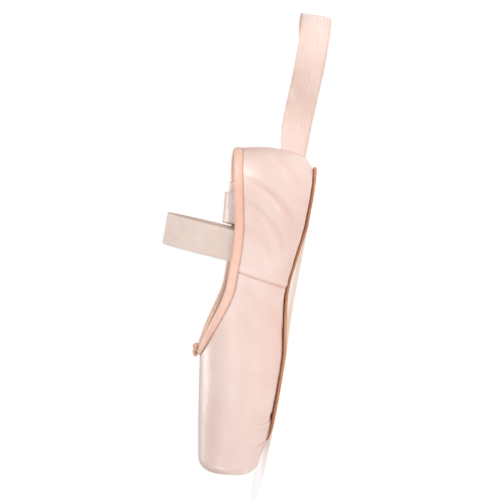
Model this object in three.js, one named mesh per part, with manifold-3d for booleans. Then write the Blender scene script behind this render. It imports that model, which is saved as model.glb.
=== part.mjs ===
// A satin pointe shoe, empty and unbent, standing on its sole.
// Millimetres. +X runs from heel to toe, +Y to the left side, +Z up from the floor.
// The shoe is symmetric about y = 0, as a straight-lasted shoe is.
import * as THREE from 'three';
import { mergeVertices } from 'three/addons/utils/BufferGeometryUtils.js';
import Module from 'manifold-3d';

const wasm = await Module();
wasm.setup();

// Driving dimensions of the last
const LENGTH = 230;
const HEEL_WIDTH = 57;
const WAIST_WIDTH = 54;
const BALL_WIDTH = 76;
const BOX_WIDTH = 66;
const TOE_WIDTH = 57;
const TOE_HEIGHT = 39;
const TOE_ROUNDING = 8;
const TOE_SLANT = 7 * Math.PI / 180;
const HEEL_CENTRE = 31;
const WIDEST_HEIGHT = 22;
const INSTEP_HEIGHT = 82;
const ARCH_RISE = 5;
const TOE_SPRING = 4;

// Driving dimensions of the collar
const HEEL_HEIGHT = 58;
const SIDE_HEIGHT = 48;
const THROAT_HEIGHT = 59;
const VAMP_LENGTH = 83;

// Driving dimensions of the pieces
const WALL = 2;
const BOX_WALL = 3;
const GAP = 0.3;
const SOLE_THICKNESS = 2;
const SOLE_START = 8;
const SOLE_LENGTH = 197;
const SOLE_HEEL_WIDTH = 35;
const SOLE_WAIST_WIDTH = 26;
const SOLE_BALL_WIDTH = 53;
const SOLE_MARGIN = 7;
const INSOLE_THICKNESS = 2;
const INSOLE_TOE_GAP = 12;
const SEAM_HEIGHT = 0.8;
const SEAM_WIDTH = 2.6;
const SIDE_SEAM_X = 89;
const SIDE_SEAM_LEAN = 8;
const BINDING_WIDTH = 5;
const BINDING_THICKNESS = 0.9;
const KNOT_LENGTH = 10;
const KNOT_WIDTH = 7;
const KNOT_HEIGHT = 4;

// Driving dimensions of the elastic and the ribbons
const ELASTIC_X = 73;
const ELASTIC_WIDTH = 22;
const ELASTIC_THICKNESS = 1;
const ELASTIC_TOP = 97;
const ELASTIC_FOOT = 22;
const ELASTIC_LEAN = 5;
const RIBBON_WIDTH = 22;
const RIBBON_THICKNESS = 0.8;

const BOTTOM = SOLE_THICKNESS + GAP;
const THROAT_X = LENGTH - VAMP_LENGTH;
const clamp = THREE.MathUtils.clamp;
const smooth = THREE.MathUtils.smoothstep;

// A smooth line through rows of [position, value], with the slope at a row taken from its neighbours
// and level where a neighbour has the same value.
function through(rows) {
  const slope = rows.map((row, i) => {
    const before = rows[Math.max(i - 1, 0)];
    const after = rows[Math.min(i + 1, rows.length - 1)];
    const flat = (i > 0 && before[1] === row[1]) || (i < rows.length - 1 && after[1] === row[1]);
    return flat ? 0 : (after[1] - before[1]) / (after[0] - before[0]);
  });
  slope[0] = 0;
  return (x) => {
    const at = clamp(x, rows[0][0], rows.at(-1)[0]);
    let i = 0;
    while (i < rows.length - 2 && at > rows[i + 1][0]) i += 1;
    const step = rows[i + 1][0] - rows[i][0];
    const t = (at - rows[i][0]) / step;
    const near = (1 + 2 * t) * (1 - t) ** 2 * rows[i][1] + t * (1 - t) ** 2 * step * slope[i];
    return near + t * t * (3 - 2 * t) * rows[i + 1][1] - t * t * (1 - t) * step * slope[i + 1];
  };
}

// Stations of the last from heel to toe, as shares of LENGTH with the size that each one sets.
const halfWidth = through([
  { at: 0.13, width: HEEL_WIDTH },
  { at: 0.41, width: WAIST_WIDTH },
  { at: 0.70, width: BALL_WIDTH },
  { at: 0.80, width: BALL_WIDTH - 0.3 * (BALL_WIDTH - BOX_WIDTH) },
  { at: 0.90, width: BOX_WIDTH },
  { at: 1.00, width: TOE_WIDTH },
].map((row) => [row.at * LENGTH, row.width / 2]));

const bottomHeight = through([
  { at: 0.00, lift: 0 },
  { at: 0.20, lift: 0 },
  { at: 0.32, lift: 0.6 * ARCH_RISE },
  { at: 0.42, lift: ARCH_RISE },
  { at: 0.52, lift: 0.55 * ARCH_RISE },
  { at: 0.62, lift: 0 },
  { at: 0.83, lift: 0 },
  { at: 1.00, lift: TOE_SPRING },
].map((row) => [row.at * LENGTH, BOTTOM + row.lift]));

const TOE_TOP = BOTTOM + TOE_SPRING + TOE_HEIGHT;
const topHeight = through([
  [0, INSTEP_HEIGHT],
  [0.25 * LENGTH, INSTEP_HEIGHT],
  [THROAT_X - 0.16 * LENGTH, THROAT_HEIGHT + 0.36 * (INSTEP_HEIGHT - THROAT_HEIGHT)],
  [THROAT_X - 0.06 * LENGTH, THROAT_HEIGHT + 0.12 * (INSTEP_HEIGHT - THROAT_HEIGHT)],
  [THROAT_X, THROAT_HEIGHT],
  [THROAT_X + 0.5 * VAMP_LENGTH, THROAT_HEIGHT - 0.46 * (THROAT_HEIGHT - TOE_TOP)],
  [LENGTH, TOE_TOP],
]);

// Shares of the half section: how much of the bottom is flat, and how square its corners are.
const flatShare = through([[0, 0.66], [0.42 * LENGTH, 0.46], [0.7 * LENGTH, 0.6], [LENGTH, 0.4]]);
const lowerSquareness = through([[0, 2], [0.42 * LENGTH, 2], [0.7 * LENGTH, 2.2], [LENGTH, 2.2]]);
const upperSquareness = through([[0, 2], [0.5 * LENGTH, 2.1], [LENGTH, 2.3]]);

// How far the toe end is drawn in at x, a quarter circle of TOE_ROUNDING.
function toeInset(x) {
  const into = clamp((x - LENGTH + TOE_ROUNDING) / TOE_ROUNDING, 0, 1);
  return TOE_ROUNDING * (1 - Math.sqrt(1 - into * into));
}

function sectionAt(x) {
  const inset = toeInset(x);
  const half = halfWidth(x);
  const bottom = bottomHeight(x);
  const top = topHeight(x);
  return {
    half: half - inset,
    bottom: bottom + inset,
    top: top - inset,
    widest: bottom + WIDEST_HEIGHT * clamp((top - bottom) / (THROAT_HEIGHT - BOTTOM), 0, 1),
    flat: flatShare(x) * (half - inset),
    lower: lowerSquareness(x),
    upper: upperSquareness(x),
  };
}

const FLAT_STEPS = 2;
const LOWER_STEPS = 6;
const UPPER_STEPS = 11;

// The half section as [reach, height] from the bottom's middle, round the wall, to the top's middle.
function halfSection(section) {
  const line = [];
  for (let i = 0; i < FLAT_STEPS; i += 1) {
    line.push([section.flat * i / FLAT_STEPS, section.bottom]);
  }
  for (let i = 0; i < LOWER_STEPS; i += 1) {
    const turn = Math.PI / 2 * (1 - i / LOWER_STEPS);
    const reach = section.flat + (section.half - section.flat) * Math.cos(turn) ** (2 / section.lower);
    line.push([reach, section.widest - (section.widest - section.bottom) * Math.sin(turn) ** (2 / section.lower)]);
  }
  for (let i = 0; i <= UPPER_STEPS; i += 1) {
    const turn = Math.PI / 2 * i / UPPER_STEPS;
    const reach = i === UPPER_STEPS ? 0 : section.half * Math.cos(turn) ** (2 / section.upper);
    line.push([reach, section.widest + (section.top - section.widest) * Math.sin(turn) ** (2 / section.upper)]);
  }
  return line;
}

const HEEL_SQUARENESS = 2.2;
const HEEL_TURNS = 14;

// The plan's reach from the heel centre in a direction, a rounded end HEEL_CENTRE long.
function heelReach(turn) {
  const along = Math.abs(Math.cos(turn)) / HEEL_CENTRE;
  const across = Math.abs(Math.sin(turn)) / halfWidth(HEEL_CENTRE);
  return 1 / (along ** HEEL_SQUARENESS + across ** HEEL_SQUARENESS) ** (1 / HEEL_SQUARENESS);
}

// Rows of half sections: down one side from toe to heel, round the heel, and up the other side.
function rowsOfLast() {
  const places = [];
  const seamShares = [-1, -0.5, 0, 0.5, 1];
  const seamPlaces = seamShares.map((share) => SIDE_SEAM_X + share * SEAM_WIDTH);
  const behind = [0, 1 / 4, 1 / 2, 3 / 4].map((share) => HEEL_CENTRE + share * (seamPlaces[0] - HEEL_CENTRE));
  const aheadStart = seamPlaces.at(-1);
  const aheadEnd = LENGTH - TOE_ROUNDING;
  const AHEAD_STEPS = 11;
  const ROUNDING_STEPS = 4;
  places.push(...behind, ...seamPlaces);
  for (let i = 1; i <= AHEAD_STEPS; i += 1) {
    places.push(aheadStart + (aheadEnd - aheadStart) * i / AHEAD_STEPS);
  }
  for (let i = 1; i <= ROUNDING_STEPS; i += 1) {
    places.push(aheadEnd + TOE_ROUNDING * Math.sin(Math.PI / 2 * i / ROUNDING_STEPS));
  }
  const ridgeAt = (x) => Math.max(0, 1 - ((x - SIDE_SEAM_X) / SEAM_WIDTH) ** 2);
  const left = places.slice(1).reverse().map((x) => ({ x, turn: Math.PI / 2, ridge: ridgeAt(x) }));
  const right = places.slice(1).map((x) => ({ x, turn: -Math.PI / 2, ridge: ridgeAt(x) }));
  const seamTurn = SEAM_WIDTH / HEEL_CENTRE;
  const turns = [];
  for (let i = 0; i <= HEEL_TURNS; i += 1) {
    turns.push(Math.PI / 2 + Math.PI * i / HEEL_TURNS);
  }
  const middle = HEEL_TURNS / 2;
  turns.splice(middle, 1, ...seamShares.map((share) => Math.PI + share * seamTurn));
  const heel = turns.map((turn) => ({
    x: HEEL_CENTRE,
    turn,
    ridge: Math.max(0, 1 - ((turn - Math.PI) / seamTurn) ** 2),
  }));
  return [...left, ...heel, ...right];
}

// Where a point of a row lies: rows near the side seam lean with it, and the toe end slants.
function place(row, reach, height) {
  const lean = Math.exp(-(((row.x - SIDE_SEAM_X) / (0.13 * LENGTH)) ** 2)) * SIDE_SEAM_LEAN;
  const upright = (height - SIDE_HEIGHT / 2) / SIDE_HEIGHT;
  const slant = smooth(row.x, LENGTH - TOE_WIDTH, LENGTH) * Math.tan(TOE_SLANT);
  const middle = TOE_TOP - TOE_HEIGHT / 2;
  return new THREE.Vector3(
    row.x + Math.cos(row.turn) * reach - lean * upright + slant * (height - middle),
    Math.sin(row.turn) * reach,
    height,
  );
}

// The closed surface of the last, as a merged geometry.
function lastGeometry() {
  const rows = rowsOfLast();
  const points = [];
  const faces = [];
  rows.forEach((row) => {
    const section = sectionAt(row.x);
    const stretch = row.x === HEEL_CENTRE ? heelReach(row.turn) / section.half : 1;
    halfSection(section).forEach(([reach, height]) => {
      const rise = smooth(height, section.bottom + 2, section.bottom + 12);
      const ridge = SEAM_HEIGHT * row.ridge * rise * (reach > 0 ? 1 : 0);
      points.push(place(row, reach * stretch + ridge, height));
    });
  });
  const across = FLAT_STEPS + LOWER_STEPS + UPPER_STEPS + 1;
  for (let i = 0; i < rows.length - 1; i += 1) {
    for (let j = 0; j < across - 1; j += 1) {
      const a = i * across + j;
      const b = a + across;
      faces.push([a, a + 1, b + 1], [a, b + 1, b]);
    }
  }
  const endRow = rows[0];
  const end = sectionAt(LENGTH);
  const hub = points.push(place(endRow, 0, (end.bottom + end.top) / 2)) - 1;
  const lastRow = (rows.length - 1) * across;
  for (let j = 0; j < across - 1; j += 1) {
    faces.push([hub, j + 1, j], [hub, lastRow + j, lastRow + j + 1]);
  }
  const geometry = new THREE.BufferGeometry().setFromPoints(points);
  geometry.setIndex(faces.flat());
  return tidied(geometry);
}

// Merges equal points, drops faces without area, and turns the faces outwards.
function tidied(geometry) {
  geometry.deleteAttribute('normal');
  geometry.deleteAttribute('uv');
  const merged = mergeVertices(geometry, 1e-4);
  const index = merged.index.array;
  const kept = [];
  for (let i = 0; i < index.length; i += 3) {
    const [a, b, c] = [index[i], index[i + 1], index[i + 2]];
    if (a !== b && b !== c && c !== a) kept.push(a, b, c);
  }
  if (signedVolume(merged, kept) < 0) kept.reverse();
  merged.setIndex(kept);
  return merged;
}

function signedVolume(geometry, index) {
  const position = geometry.getAttribute('position');
  const [a, b, c] = [new THREE.Vector3(), new THREE.Vector3(), new THREE.Vector3()];
  let sum = 0;
  for (let i = 0; i < index.length; i += 3) {
    a.fromBufferAttribute(position, index[i]);
    b.fromBufferAttribute(position, index[i + 1]);
    c.fromBufferAttribute(position, index[i + 2]);
    sum += a.dot(b.cross(c));
  }
  return sum;
}

function solidOf(geometry) {
  const vertProperties = new Float32Array(geometry.getAttribute('position').array);
  const triVerts = new Uint32Array(geometry.index.array);
  return new wasm.Manifold(new wasm.Mesh({ numProp: 3, vertProperties, triVerts }));
}

function geometryOf(solid) {
  const mesh = solid.getMesh();
  const geometry = new THREE.BufferGeometry();
  geometry.setAttribute('position', new THREE.BufferAttribute(mesh.vertProperties, 3));
  geometry.setIndex(new THREE.BufferAttribute(mesh.triVerts, 1));
  geometry.computeVertexNormals();
  return geometry;
}

const LAST = lastGeometry();
LAST.computeVertexNormals();

// The last moved out along its own normals, or in where the distance is negative.
// depth says the distance at x.
function lastForm(depth) {
  const form = LAST.clone();
  const position = form.getAttribute('position');
  const normal = LAST.getAttribute('normal');
  for (let i = 0; i < position.count; i += 1) {
    const point = new THREE.Vector3().fromBufferAttribute(position, i);
    const out = new THREE.Vector3().fromBufferAttribute(normal, i);
    point.addScaledVector(out, depth(point.x));
    position.setXYZ(i, point.x, point.y, point.z);
  }
  return solidOf(form);
}

const wallAt = (x) => WALL + (BOX_WALL - WALL) * smooth(x, THROAT_X, LENGTH - TOE_ROUNDING);

// The collar's height over the quarters, in side view.
const collarHeight = through([
  [0, HEEL_HEIGHT],
  [0.11 * LENGTH, HEEL_HEIGHT - 0.25 * (HEEL_HEIGHT - SIDE_HEIGHT)],
  [0.26 * LENGTH, HEEL_HEIGHT - 0.85 * (HEEL_HEIGHT - SIDE_HEIGHT)],
  [0.38 * LENGTH, SIDE_HEIGHT],
  [THROAT_X, SIDE_HEIGHT],
]);

// The wall's reach at a height of a section.
function reachAt(section, height) {
  if (height < section.widest) {
    const drop = clamp((section.widest - height) / (section.widest - section.bottom), 0, 1);
    const round = (1 - drop ** section.lower) ** (1 / section.lower);
    return section.flat + (section.half - section.flat) * round;
  }
  const share = clamp((height - section.widest) / (section.top - section.widest), 0, 1);
  return section.half * (1 - share ** section.upper) ** (1 / section.upper);
}

// On the upper half of a section, the wall's height at a reach.
function heightAt(section, reach) {
  const share = clamp(reach / section.half, 0, 1);
  return section.widest + (section.top - section.widest) * (1 - share ** section.upper) ** (1 / section.upper);
}

// 1 on the last's upper half, less inside it and more outside.
function level(x, y, z) {
  const heelward = Math.min(x - HEEL_CENTRE, 0);
  const section = sectionAt(Math.max(x, HEEL_CENTRE));
  const full = heelward < 0 ? heelReach(Math.atan2(y, heelward)) : section.half;
  const rise = Math.max(z - section.widest, 0) / (section.top - section.widest);
  return (Math.hypot(heelward, y) / full) ** section.upper + rise ** section.upper;
}

function outwards(x, y, z) {
  const NUDGE = 0.2;
  return new THREE.Vector3(
    level(x + NUDGE, y, z) - level(x - NUDGE, y, z),
    level(x, y + NUDGE, z) - level(x, y - NUDGE, z),
    level(x, y, z + NUDGE) - level(x, y, z - NUDGE),
  ).normalize();
}

const THROAT_CURVE = 0.2 * LENGTH;

// One side of the collar on the last, from the back of the heel to the middle of the throat,
// lowered from the collar's edge by a distance. In plan the throat draws in as a quarter ellipse.
function collarSide(lowered) {
  const HEEL_STEPS = 8;
  const SIDE_STEPS = 6;
  const THROAT_STEPS = 9;
  const throat = THROAT_X + lowered;
  const start = throat - THROAT_CURVE;
  const side = [];
  for (let i = 0; i < HEEL_STEPS; i += 1) {
    const turn = Math.PI - Math.PI / 2 * i / HEEL_STEPS;
    const section = sectionAt(HEEL_CENTRE);
    const height = collarHeight(HEEL_CENTRE + Math.cos(turn) * heelReach(turn)) - lowered;
    side.push({ x: HEEL_CENTRE, turn, height, reach: reachAt(section, height) * heelReach(turn) / section.half });
  }
  for (let i = 0; i < SIDE_STEPS; i += 1) {
    const x = HEEL_CENTRE + (start - HEEL_CENTRE) * i / SIDE_STEPS;
    const height = collarHeight(x) - lowered;
    side.push({ x, turn: Math.PI / 2, height, reach: reachAt(sectionAt(x), height) });
  }
  for (let i = 0; i <= THROAT_STEPS; i += 1) {
    const share = Math.PI / 2 * i / THROAT_STEPS;
    const x = start + THROAT_CURVE * Math.sin(share);
    const full = reachAt(sectionAt(x), collarHeight(x) - lowered);
    const reach = i === THROAT_STEPS ? 0 : full * Math.cos(share);
    side.push({ x, turn: Math.PI / 2, height: heightAt(sectionAt(x), reach), reach });
  }
  return side;
}

// The collar as a closed ring of points with their outward directions.
function collarRing(lowered) {
  const side = collarSide(lowered);
  const other = side.slice(1, -1).map((at) => ({ ...at, turn: -at.turn })).reverse();
  return [...side, ...other].map((at) => {
    const flat = [at.x + Math.cos(at.turn) * at.reach, Math.sin(at.turn) * at.reach];
    return { point: place(at, at.reach, at.height), out: outwards(...flat, at.height) };
  });
}

const MOUTH_CENTRE = 0.33 * LENGTH;
const MOUTH_ABOVE = 130;
const MOUTH_OUT = 8;
const MOUTH_IN = 6;

// The mouth: a solid whose side crosses the wall squarely along the collar's ring, closed by a fan
// to a point above the shoe and by another to a point inside it.
function mouth(lowered) {
  const ring = collarRing(lowered);
  const points = ring.map(({ point, out }) => point.clone().addScaledVector(out, MOUTH_OUT));
  points.push(...ring.map(({ point, out }) => point.clone().addScaledVector(out, -MOUTH_IN)));
  const above = points.push(new THREE.Vector3(MOUTH_CENTRE, 0, MOUTH_ABOVE)) - 1;
  const inside = points.push(new THREE.Vector3(MOUTH_CENTRE, 0, SIDE_HEIGHT - MOUTH_IN)) - 1;
  const faces = [];
  const count = ring.length;
  for (let i = 0; i < count; i += 1) {
    const next = (i + 1) % count;
    faces.push([i, next, count + next], [i, count + next, count + i]);
    faces.push([i, above, next], [count + i, count + next, inside]);
  }
  const geometry = new THREE.BufferGeometry().setFromPoints(points);
  geometry.setIndex(faces.flat());
  return solidOf(tidied(geometry));
}

const BEHIND = -20;
const HALF_SPAN = 80;

// A solid with this outline in side view, reaching past both sides of the shoe.
function sideSolid(outline) {
  const shape = new THREE.Shape(outline.map(([x, z]) => new THREE.Vector2(x, z)));
  const geometry = new THREE.ExtrudeGeometry(shape, { depth: 2 * HALF_SPAN, bevelEnabled: false });
  geometry.rotateX(Math.PI / 2);
  geometry.translate(0, HALF_SPAN, 0);
  return solidOf(tidied(geometry));
}

// A solid with this outline in plan, from one height to another.
function planSolid(shape, low, high) {
  const geometry = new THREE.ExtrudeGeometry(shape, { depth: high - low, bevelEnabled: false });
  geometry.translate(0, 0, low);
  return solidOf(tidied(geometry));
}

// The layer between two distances above the last's bottom, as far as x = end.
// Its line has the same corners as the last's own bottom.
function bottomLayer(low, high, end) {
  const line = rowsOfLast().filter((row) => row.turn === -Math.PI / 2)
    .map((row) => place(row, 0, bottomHeight(row.x)))
    .filter((point) => point.x < end - 1);
  const corners = [[BEHIND, BOTTOM], ...line.map((point) => [point.x, point.z]), [end, bottomHeight(end)]];
  const under = corners.map(([x, z]) => [x, z + low]);
  const over = corners.map(([x, z]) => [x, z + high]);
  return sideSolid([...under, ...over.reverse()]);
}

// The sole's half outline from its heel end to its toe end, drawn in by a margin.
const soleHalf = through([
  { at: 0.00, width: 0.86 * SOLE_HEEL_WIDTH },
  { at: 0.12, width: SOLE_HEEL_WIDTH },
  { at: 0.24, width: SOLE_WAIST_WIDTH + 0.55 * (SOLE_HEEL_WIDTH - SOLE_WAIST_WIDTH) },
  { at: 0.42, width: SOLE_WAIST_WIDTH },
  { at: 0.58, width: SOLE_WAIST_WIDTH + 0.45 * (SOLE_BALL_WIDTH - SOLE_WAIST_WIDTH) },
  { at: 0.77, width: SOLE_BALL_WIDTH },
  { at: 1.00, width: 0.86 * SOLE_BALL_WIDTH },
].map((row) => [SOLE_START + row.at * SOLE_LENGTH, row.width / 2]));

function soleOutline(margin) {
  const STEPS = 40;
  const start = SOLE_START + margin;
  const long = SOLE_LENGTH - 2 * margin;
  const half = [];
  for (let i = 0; i <= STEPS; i += 1) {
    const x = start + long * (1 - Math.cos(Math.PI * i / STEPS)) / 2;
    const heelEnd = clamp((x - start) / (0.5 * SOLE_HEEL_WIDTH), 0, 1);
    const toeEnd = clamp((start + long - x) / (0.52 * SOLE_BALL_WIDTH), 0, 1);
    const round = Math.sqrt(1 - (1 - heelEnd) ** 2) * Math.sqrt(1 - (1 - toeEnd) ** 2);
    half.push([x, Math.max(0, (soleHalf(x) - margin) * round)]);
  }
  const inner = half.slice(1, -1);
  const back = inner.map(([x, y]) => [x, -y]).reverse();
  return new THREE.Shape([half[0], ...inner, half.at(-1), ...back].map(([x, y]) => new THREE.Vector2(x, y)));
}

function makeUpper() {
  const outer = lastForm(() => 0);
  const inner = lastForm((x) => -wallAt(x));
  const opening = planSolid(soleOutline(SOLE_MARGIN), -1, BOTTOM + ARCH_RISE + BOX_WALL);
  const floorOfLast = bottomLayer(-1, BOX_WALL, LENGTH - TOE_ROUNDING);
  return outer.subtract(inner).subtract(mouth(0)).subtract(opening.intersect(floorOfLast));
}

function makeOutsole() {
  const leaf = planSolid(soleOutline(0), -1, BOTTOM + ARCH_RISE + TOE_SPRING);
  return leaf.intersect(bottomLayer(-GAP - SOLE_THICKNESS, -GAP, LENGTH - TOE_ROUNDING));
}

function makeInsole() {
  const inside = lastForm((x) => -wallAt(x) - GAP);
  const end = LENGTH - INSOLE_TOE_GAP;
  const board = inside.intersect(bottomLayer(BOX_WALL + GAP, BOX_WALL + GAP + INSOLE_THICKNESS, end));
  const step = planSolid(soleOutline(SOLE_MARGIN + GAP), -1, BOTTOM + ARCH_RISE + BOX_WALL + INSOLE_THICKNESS);
  return board.add(step.intersect(bottomLayer(0, BOX_WALL + GAP + INSOLE_THICKNESS / 2, end)));
}

// The folded casing over the collar's edge, cut from the last's own forms.
function makeBinding() {
  const outside = GAP + BINDING_THICKNESS;
  const layers = lastForm(() => outside).subtract(lastForm((x) => -wallAt(x) - outside));
  const band = mouth(BINDING_WIDTH).subtract(mouth(-outside));
  const wall = lastForm(() => GAP).subtract(lastForm((x) => -wallAt(x) - GAP)).subtract(mouth(-GAP));
  return layers.intersect(band).subtract(wall);
}

// The drawstring's tucked knot: a flattened ball with three turns of cord raised round it.
function makeKnot() {
  const KNOT_TURNS = 3;
  const TURN_DEPTH = 0.1;
  const ball = new THREE.SphereGeometry(1, 14, 9);
  const position = ball.getAttribute('position');
  for (let i = 0; i < position.count; i += 1) {
    const point = new THREE.Vector3().fromBufferAttribute(position, i);
    const round = Math.atan2(point.z, point.y);
    const wave = Math.cos(KNOT_TURNS * round + 3 * point.x) * Math.hypot(point.y, point.z);
    point.multiplyScalar(1 + TURN_DEPTH * wave);
    position.setXYZ(i, point.x, point.y, point.z);
  }
  ball.scale(KNOT_LENGTH / 2, KNOT_WIDTH / 2, KNOT_HEIGHT / 2);
  ball.rotateY(Math.atan2(topHeight(THROAT_X) - topHeight(THROAT_X + KNOT_LENGTH), KNOT_LENGTH));
  const seat = THROAT_X + BINDING_WIDTH / 2;
  const lowest = GAP + BINDING_THICKNESS + GAP;
  ball.translate(seat, 0, topHeight(seat) + lowest + KNOT_HEIGHT / 2 * (1 + TURN_DEPTH));
  return solidOf(tidied(ball));
}

// A flat band through stations, each with its two edges and its outward direction.
function bandSolid(stations, thickness) {
  const points = [];
  stations.forEach(({ edges, out }) => {
    edges.forEach((edge) => {
      points.push(edge.clone().addScaledVector(out, thickness / 2));
      points.push(edge.clone().addScaledVector(out, -thickness / 2));
    });
  });
  const faces = [];
  const around = [0, 2, 3, 1];
  for (let i = 0; i < stations.length - 1; i += 1) {
    around.forEach((corner, j) => {
      const next = around[(j + 1) % 4];
      faces.push([4 * i + corner, 4 * i + next, 4 * i + 4 + next]);
      faces.push([4 * i + corner, 4 * i + 4 + next, 4 * i + 4 + corner]);
    });
  }
  const end = 4 * (stations.length - 1);
  faces.push([0, 3, 2], [0, 1, 3], [end, end + 2, end + 3], [end, end + 3, end + 1]);
  const geometry = new THREE.BufferGeometry().setFromPoints(points);
  geometry.setIndex(faces.flat());
  return solidOf(tidied(geometry));
}

// How far inside the wall's outer face the middle of a band lies, clear of the binding's inner leg.
function insideWall(height, thickness) {
  const clear = smooth(height, SIDE_HEIGHT - 3 * BINDING_WIDTH, SIDE_HEIGHT - 1.5 * BINDING_WIDTH);
  return WALL + 2 * GAP + thickness / 2 + clear * (BINDING_THICKNESS + 1.5 * GAP);
}

// The elastic: up inside one quarter, over the instep in a round arch, and down inside the other.
function makeElastic() {
  const INSIDE_STEPS = 5;
  const ARCH_STEPS = 18;
  const ARCH_SQUARENESS = 2.2;
  const springing = SIDE_HEIGHT;
  const profile = [];
  for (let i = 0; i < INSIDE_STEPS; i += 1) {
    profile.push({ height: ELASTIC_FOOT + (springing - ELASTIC_FOOT) * i / INSIDE_STEPS, share: 1 });
  }
  for (let i = 0; i <= ARCH_STEPS; i += 1) {
    const turn = Math.PI / 2 * i / ARCH_STEPS;
    const rise = i === ARCH_STEPS ? 1 : Math.sin(turn) ** (2 / ARCH_SQUARENESS);
    const share = i === ARCH_STEPS ? 0 : Math.cos(turn) ** (2 / ARCH_SQUARENESS);
    profile.push({ height: springing + (ELASTIC_TOP - springing) * rise, share });
  }
  const other = profile.slice(0, -1).map((at) => ({ height: at.height, share: -at.share })).reverse();
  const ends = [-ELASTIC_WIDTH / 2, ELASTIC_WIDTH / 2];
  const edgesAt = ({ height, share }) => ends.map((along) => {
    const x = ELASTIC_X + along;
    const within = Math.min(height, springing);
    const surface = reachAt(sectionAt(x), within);
    const reach = surface - insideWall(within, ELASTIC_THICKNESS) / outwards(x, surface, within).y;
    const leant = ELASTIC_LEAN * (height - ELASTIC_FOOT) / (ELASTIC_TOP - ELASTIC_FOOT);
    return new THREE.Vector3(x - leant, share * reach, height);
  });
  const edges = [...profile, ...other].map(edgesAt);
  const stations = edges.map((pair, i) => {
    const before = edges[Math.max(i - 1, 0)][0];
    const after = edges[Math.min(i + 1, edges.length - 1)][0];
    const forward = after.clone().sub(before);
    const across = pair[1].clone().sub(pair[0]);
    return { edges: pair, out: across.cross(forward).normalize() };
  });
  return bandSolid(stations, ELASTIC_THICKNESS);
}

// The ribbons' routes from where they are sewn, points chosen by hand: up inside the quarter, over
// the right side's collar, down to the floor and along it. tilt turns the ribbon's width from flat
// towards standing on its edge, in degrees.
const RIGHT_ROUTE = [
  { x: 44, y: -24.4, z: 22, tilt: 0 },
  { x: 43, y: -24.4, z: 30, tilt: 0 },
  { x: 42, y: -23.6, z: 38, tilt: 0 },
  { x: 41, y: -21.6, z: 45, tilt: 0 },
  { x: 40.6, y: -20.3, z: 50, tilt: 0 },
  { x: 40.3, y: -19.9, z: 53.4, tilt: 2 },
  { x: 40.1, y: -20.9, z: 55.4, tilt: 7 },
  { x: 40, y: -23.6, z: 56.2, tilt: 10 },
  { x: 39.8, y: -26.3, z: 55.3, tilt: 7 },
  { x: 39.5, y: -27.6, z: 53.2, tilt: 2 },
  { x: 38.8, y: -28.4, z: 49, tilt: 0 },
  { x: 37, y: -29.4, z: 38, tilt: 0 },
  { x: 34.5, y: -30.2, z: 24, tilt: 0 },
  { x: 32.5, y: -31.4, z: 12, tilt: 0 },
  { x: 31, y: -34, z: 4.5, tilt: 0 },
  { x: 30, y: -39, z: 1.2, tilt: 0 },
  { x: 27, y: -49, z: 0.8, tilt: 0 },
  { x: 22, y: -61, z: 3.4, tilt: 14 },
  { x: 13, y: -72, z: 8, tilt: 40 },
  { x: 0, y: -80, z: 10.9, tilt: 70 },
  { x: -16, y: -83, z: 11.5, tilt: 86 },
  { x: -33, y: -79, z: 11.6, tilt: 92 },
  { x: -49, y: -70, z: 11.6, tilt: 95 },
  { x: -66, y: -63, z: 11.6, tilt: 90 },
  { x: -84, y: -64, z: 11.6, tilt: 84 },
  { x: -98, y: -74, z: 11.6, tilt: 88 },
  { x: -103, y: -90, z: 11.5, tilt: 95 },
  { x: -96, y: -106, z: 10.9, tilt: 106 },
  { x: -82, y: -117, z: 8.6, tilt: 134 },
  { x: -65, y: -124, z: 4.2, tilt: 160 },
  { x: -47, y: -128, z: 0.9, tilt: 178 },
  { x: -28, y: -131, z: 0.7, tilt: 180 },
  { x: -10, y: -133, z: 0.7, tilt: 180 },
];
const LEFT_ROUTE = [
  { x: 44, y: 24.4, z: 22, tilt: 0 },
  { x: 44, y: 24.4, z: 30, tilt: 0 },
  { x: 44, y: 23.6, z: 38, tilt: 0 },
  { x: 44.5, y: 21.4, z: 45, tilt: 0 },
  { x: 45, y: 18, z: 50, tilt: 4 },
  { x: 45.5, y: 11, z: 52.6, tilt: 8 },
  { x: 46, y: -1, z: 53.4, tilt: 10 },
  { x: 47, y: -12, z: 55, tilt: 10 },
  { x: 47.5, y: -18, z: 56.9, tilt: 10 },
  { x: 47.8, y: -23.6, z: 57.9, tilt: 10 },
  { x: 48, y: -27.6, z: 57, tilt: 8 },
  { x: 48.2, y: -29.6, z: 53.6, tilt: 2 },
  { x: 49, y: -30.2, z: 49, tilt: 0 },
  { x: 51, y: -31, z: 38, tilt: 0 },
  { x: 53, y: -31.8, z: 25, tilt: 0 },
  { x: 55, y: -32.6, z: 13, tilt: 0 },
  { x: 56.5, y: -35, z: 5.4, tilt: 0 },
  { x: 58, y: -41, z: 2.2, tilt: 0 },
  { x: 61, y: -52, z: 1, tilt: 0 },
  { x: 67, y: -63, z: 3.4, tilt: -14 },
  { x: 77, y: -73, z: 8.2, tilt: -42 },
  { x: 91, y: -79, z: 11, tilt: -72 },
  { x: 108, y: -80, z: 11.6, tilt: -88 },
  { x: 125, y: -75, z: 11.6, tilt: -92 },
  { x: 142, y: -68, z: 11.6, tilt: -92 },
  { x: 159, y: -64, z: 11.6, tilt: -88 },
  { x: 176, y: -67, z: 11.4, tilt: -80 },
  { x: 190, y: -76, z: 9.2, tilt: -52 },
  { x: 202, y: -88, z: 4.6, tilt: -20 },
  { x: 212, y: -102, z: 1, tilt: -2 },
  { x: 221, y: -118, z: 0.7, tilt: 0 },
  { x: 229, y: -134, z: 0.7, tilt: 0 },
];

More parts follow.
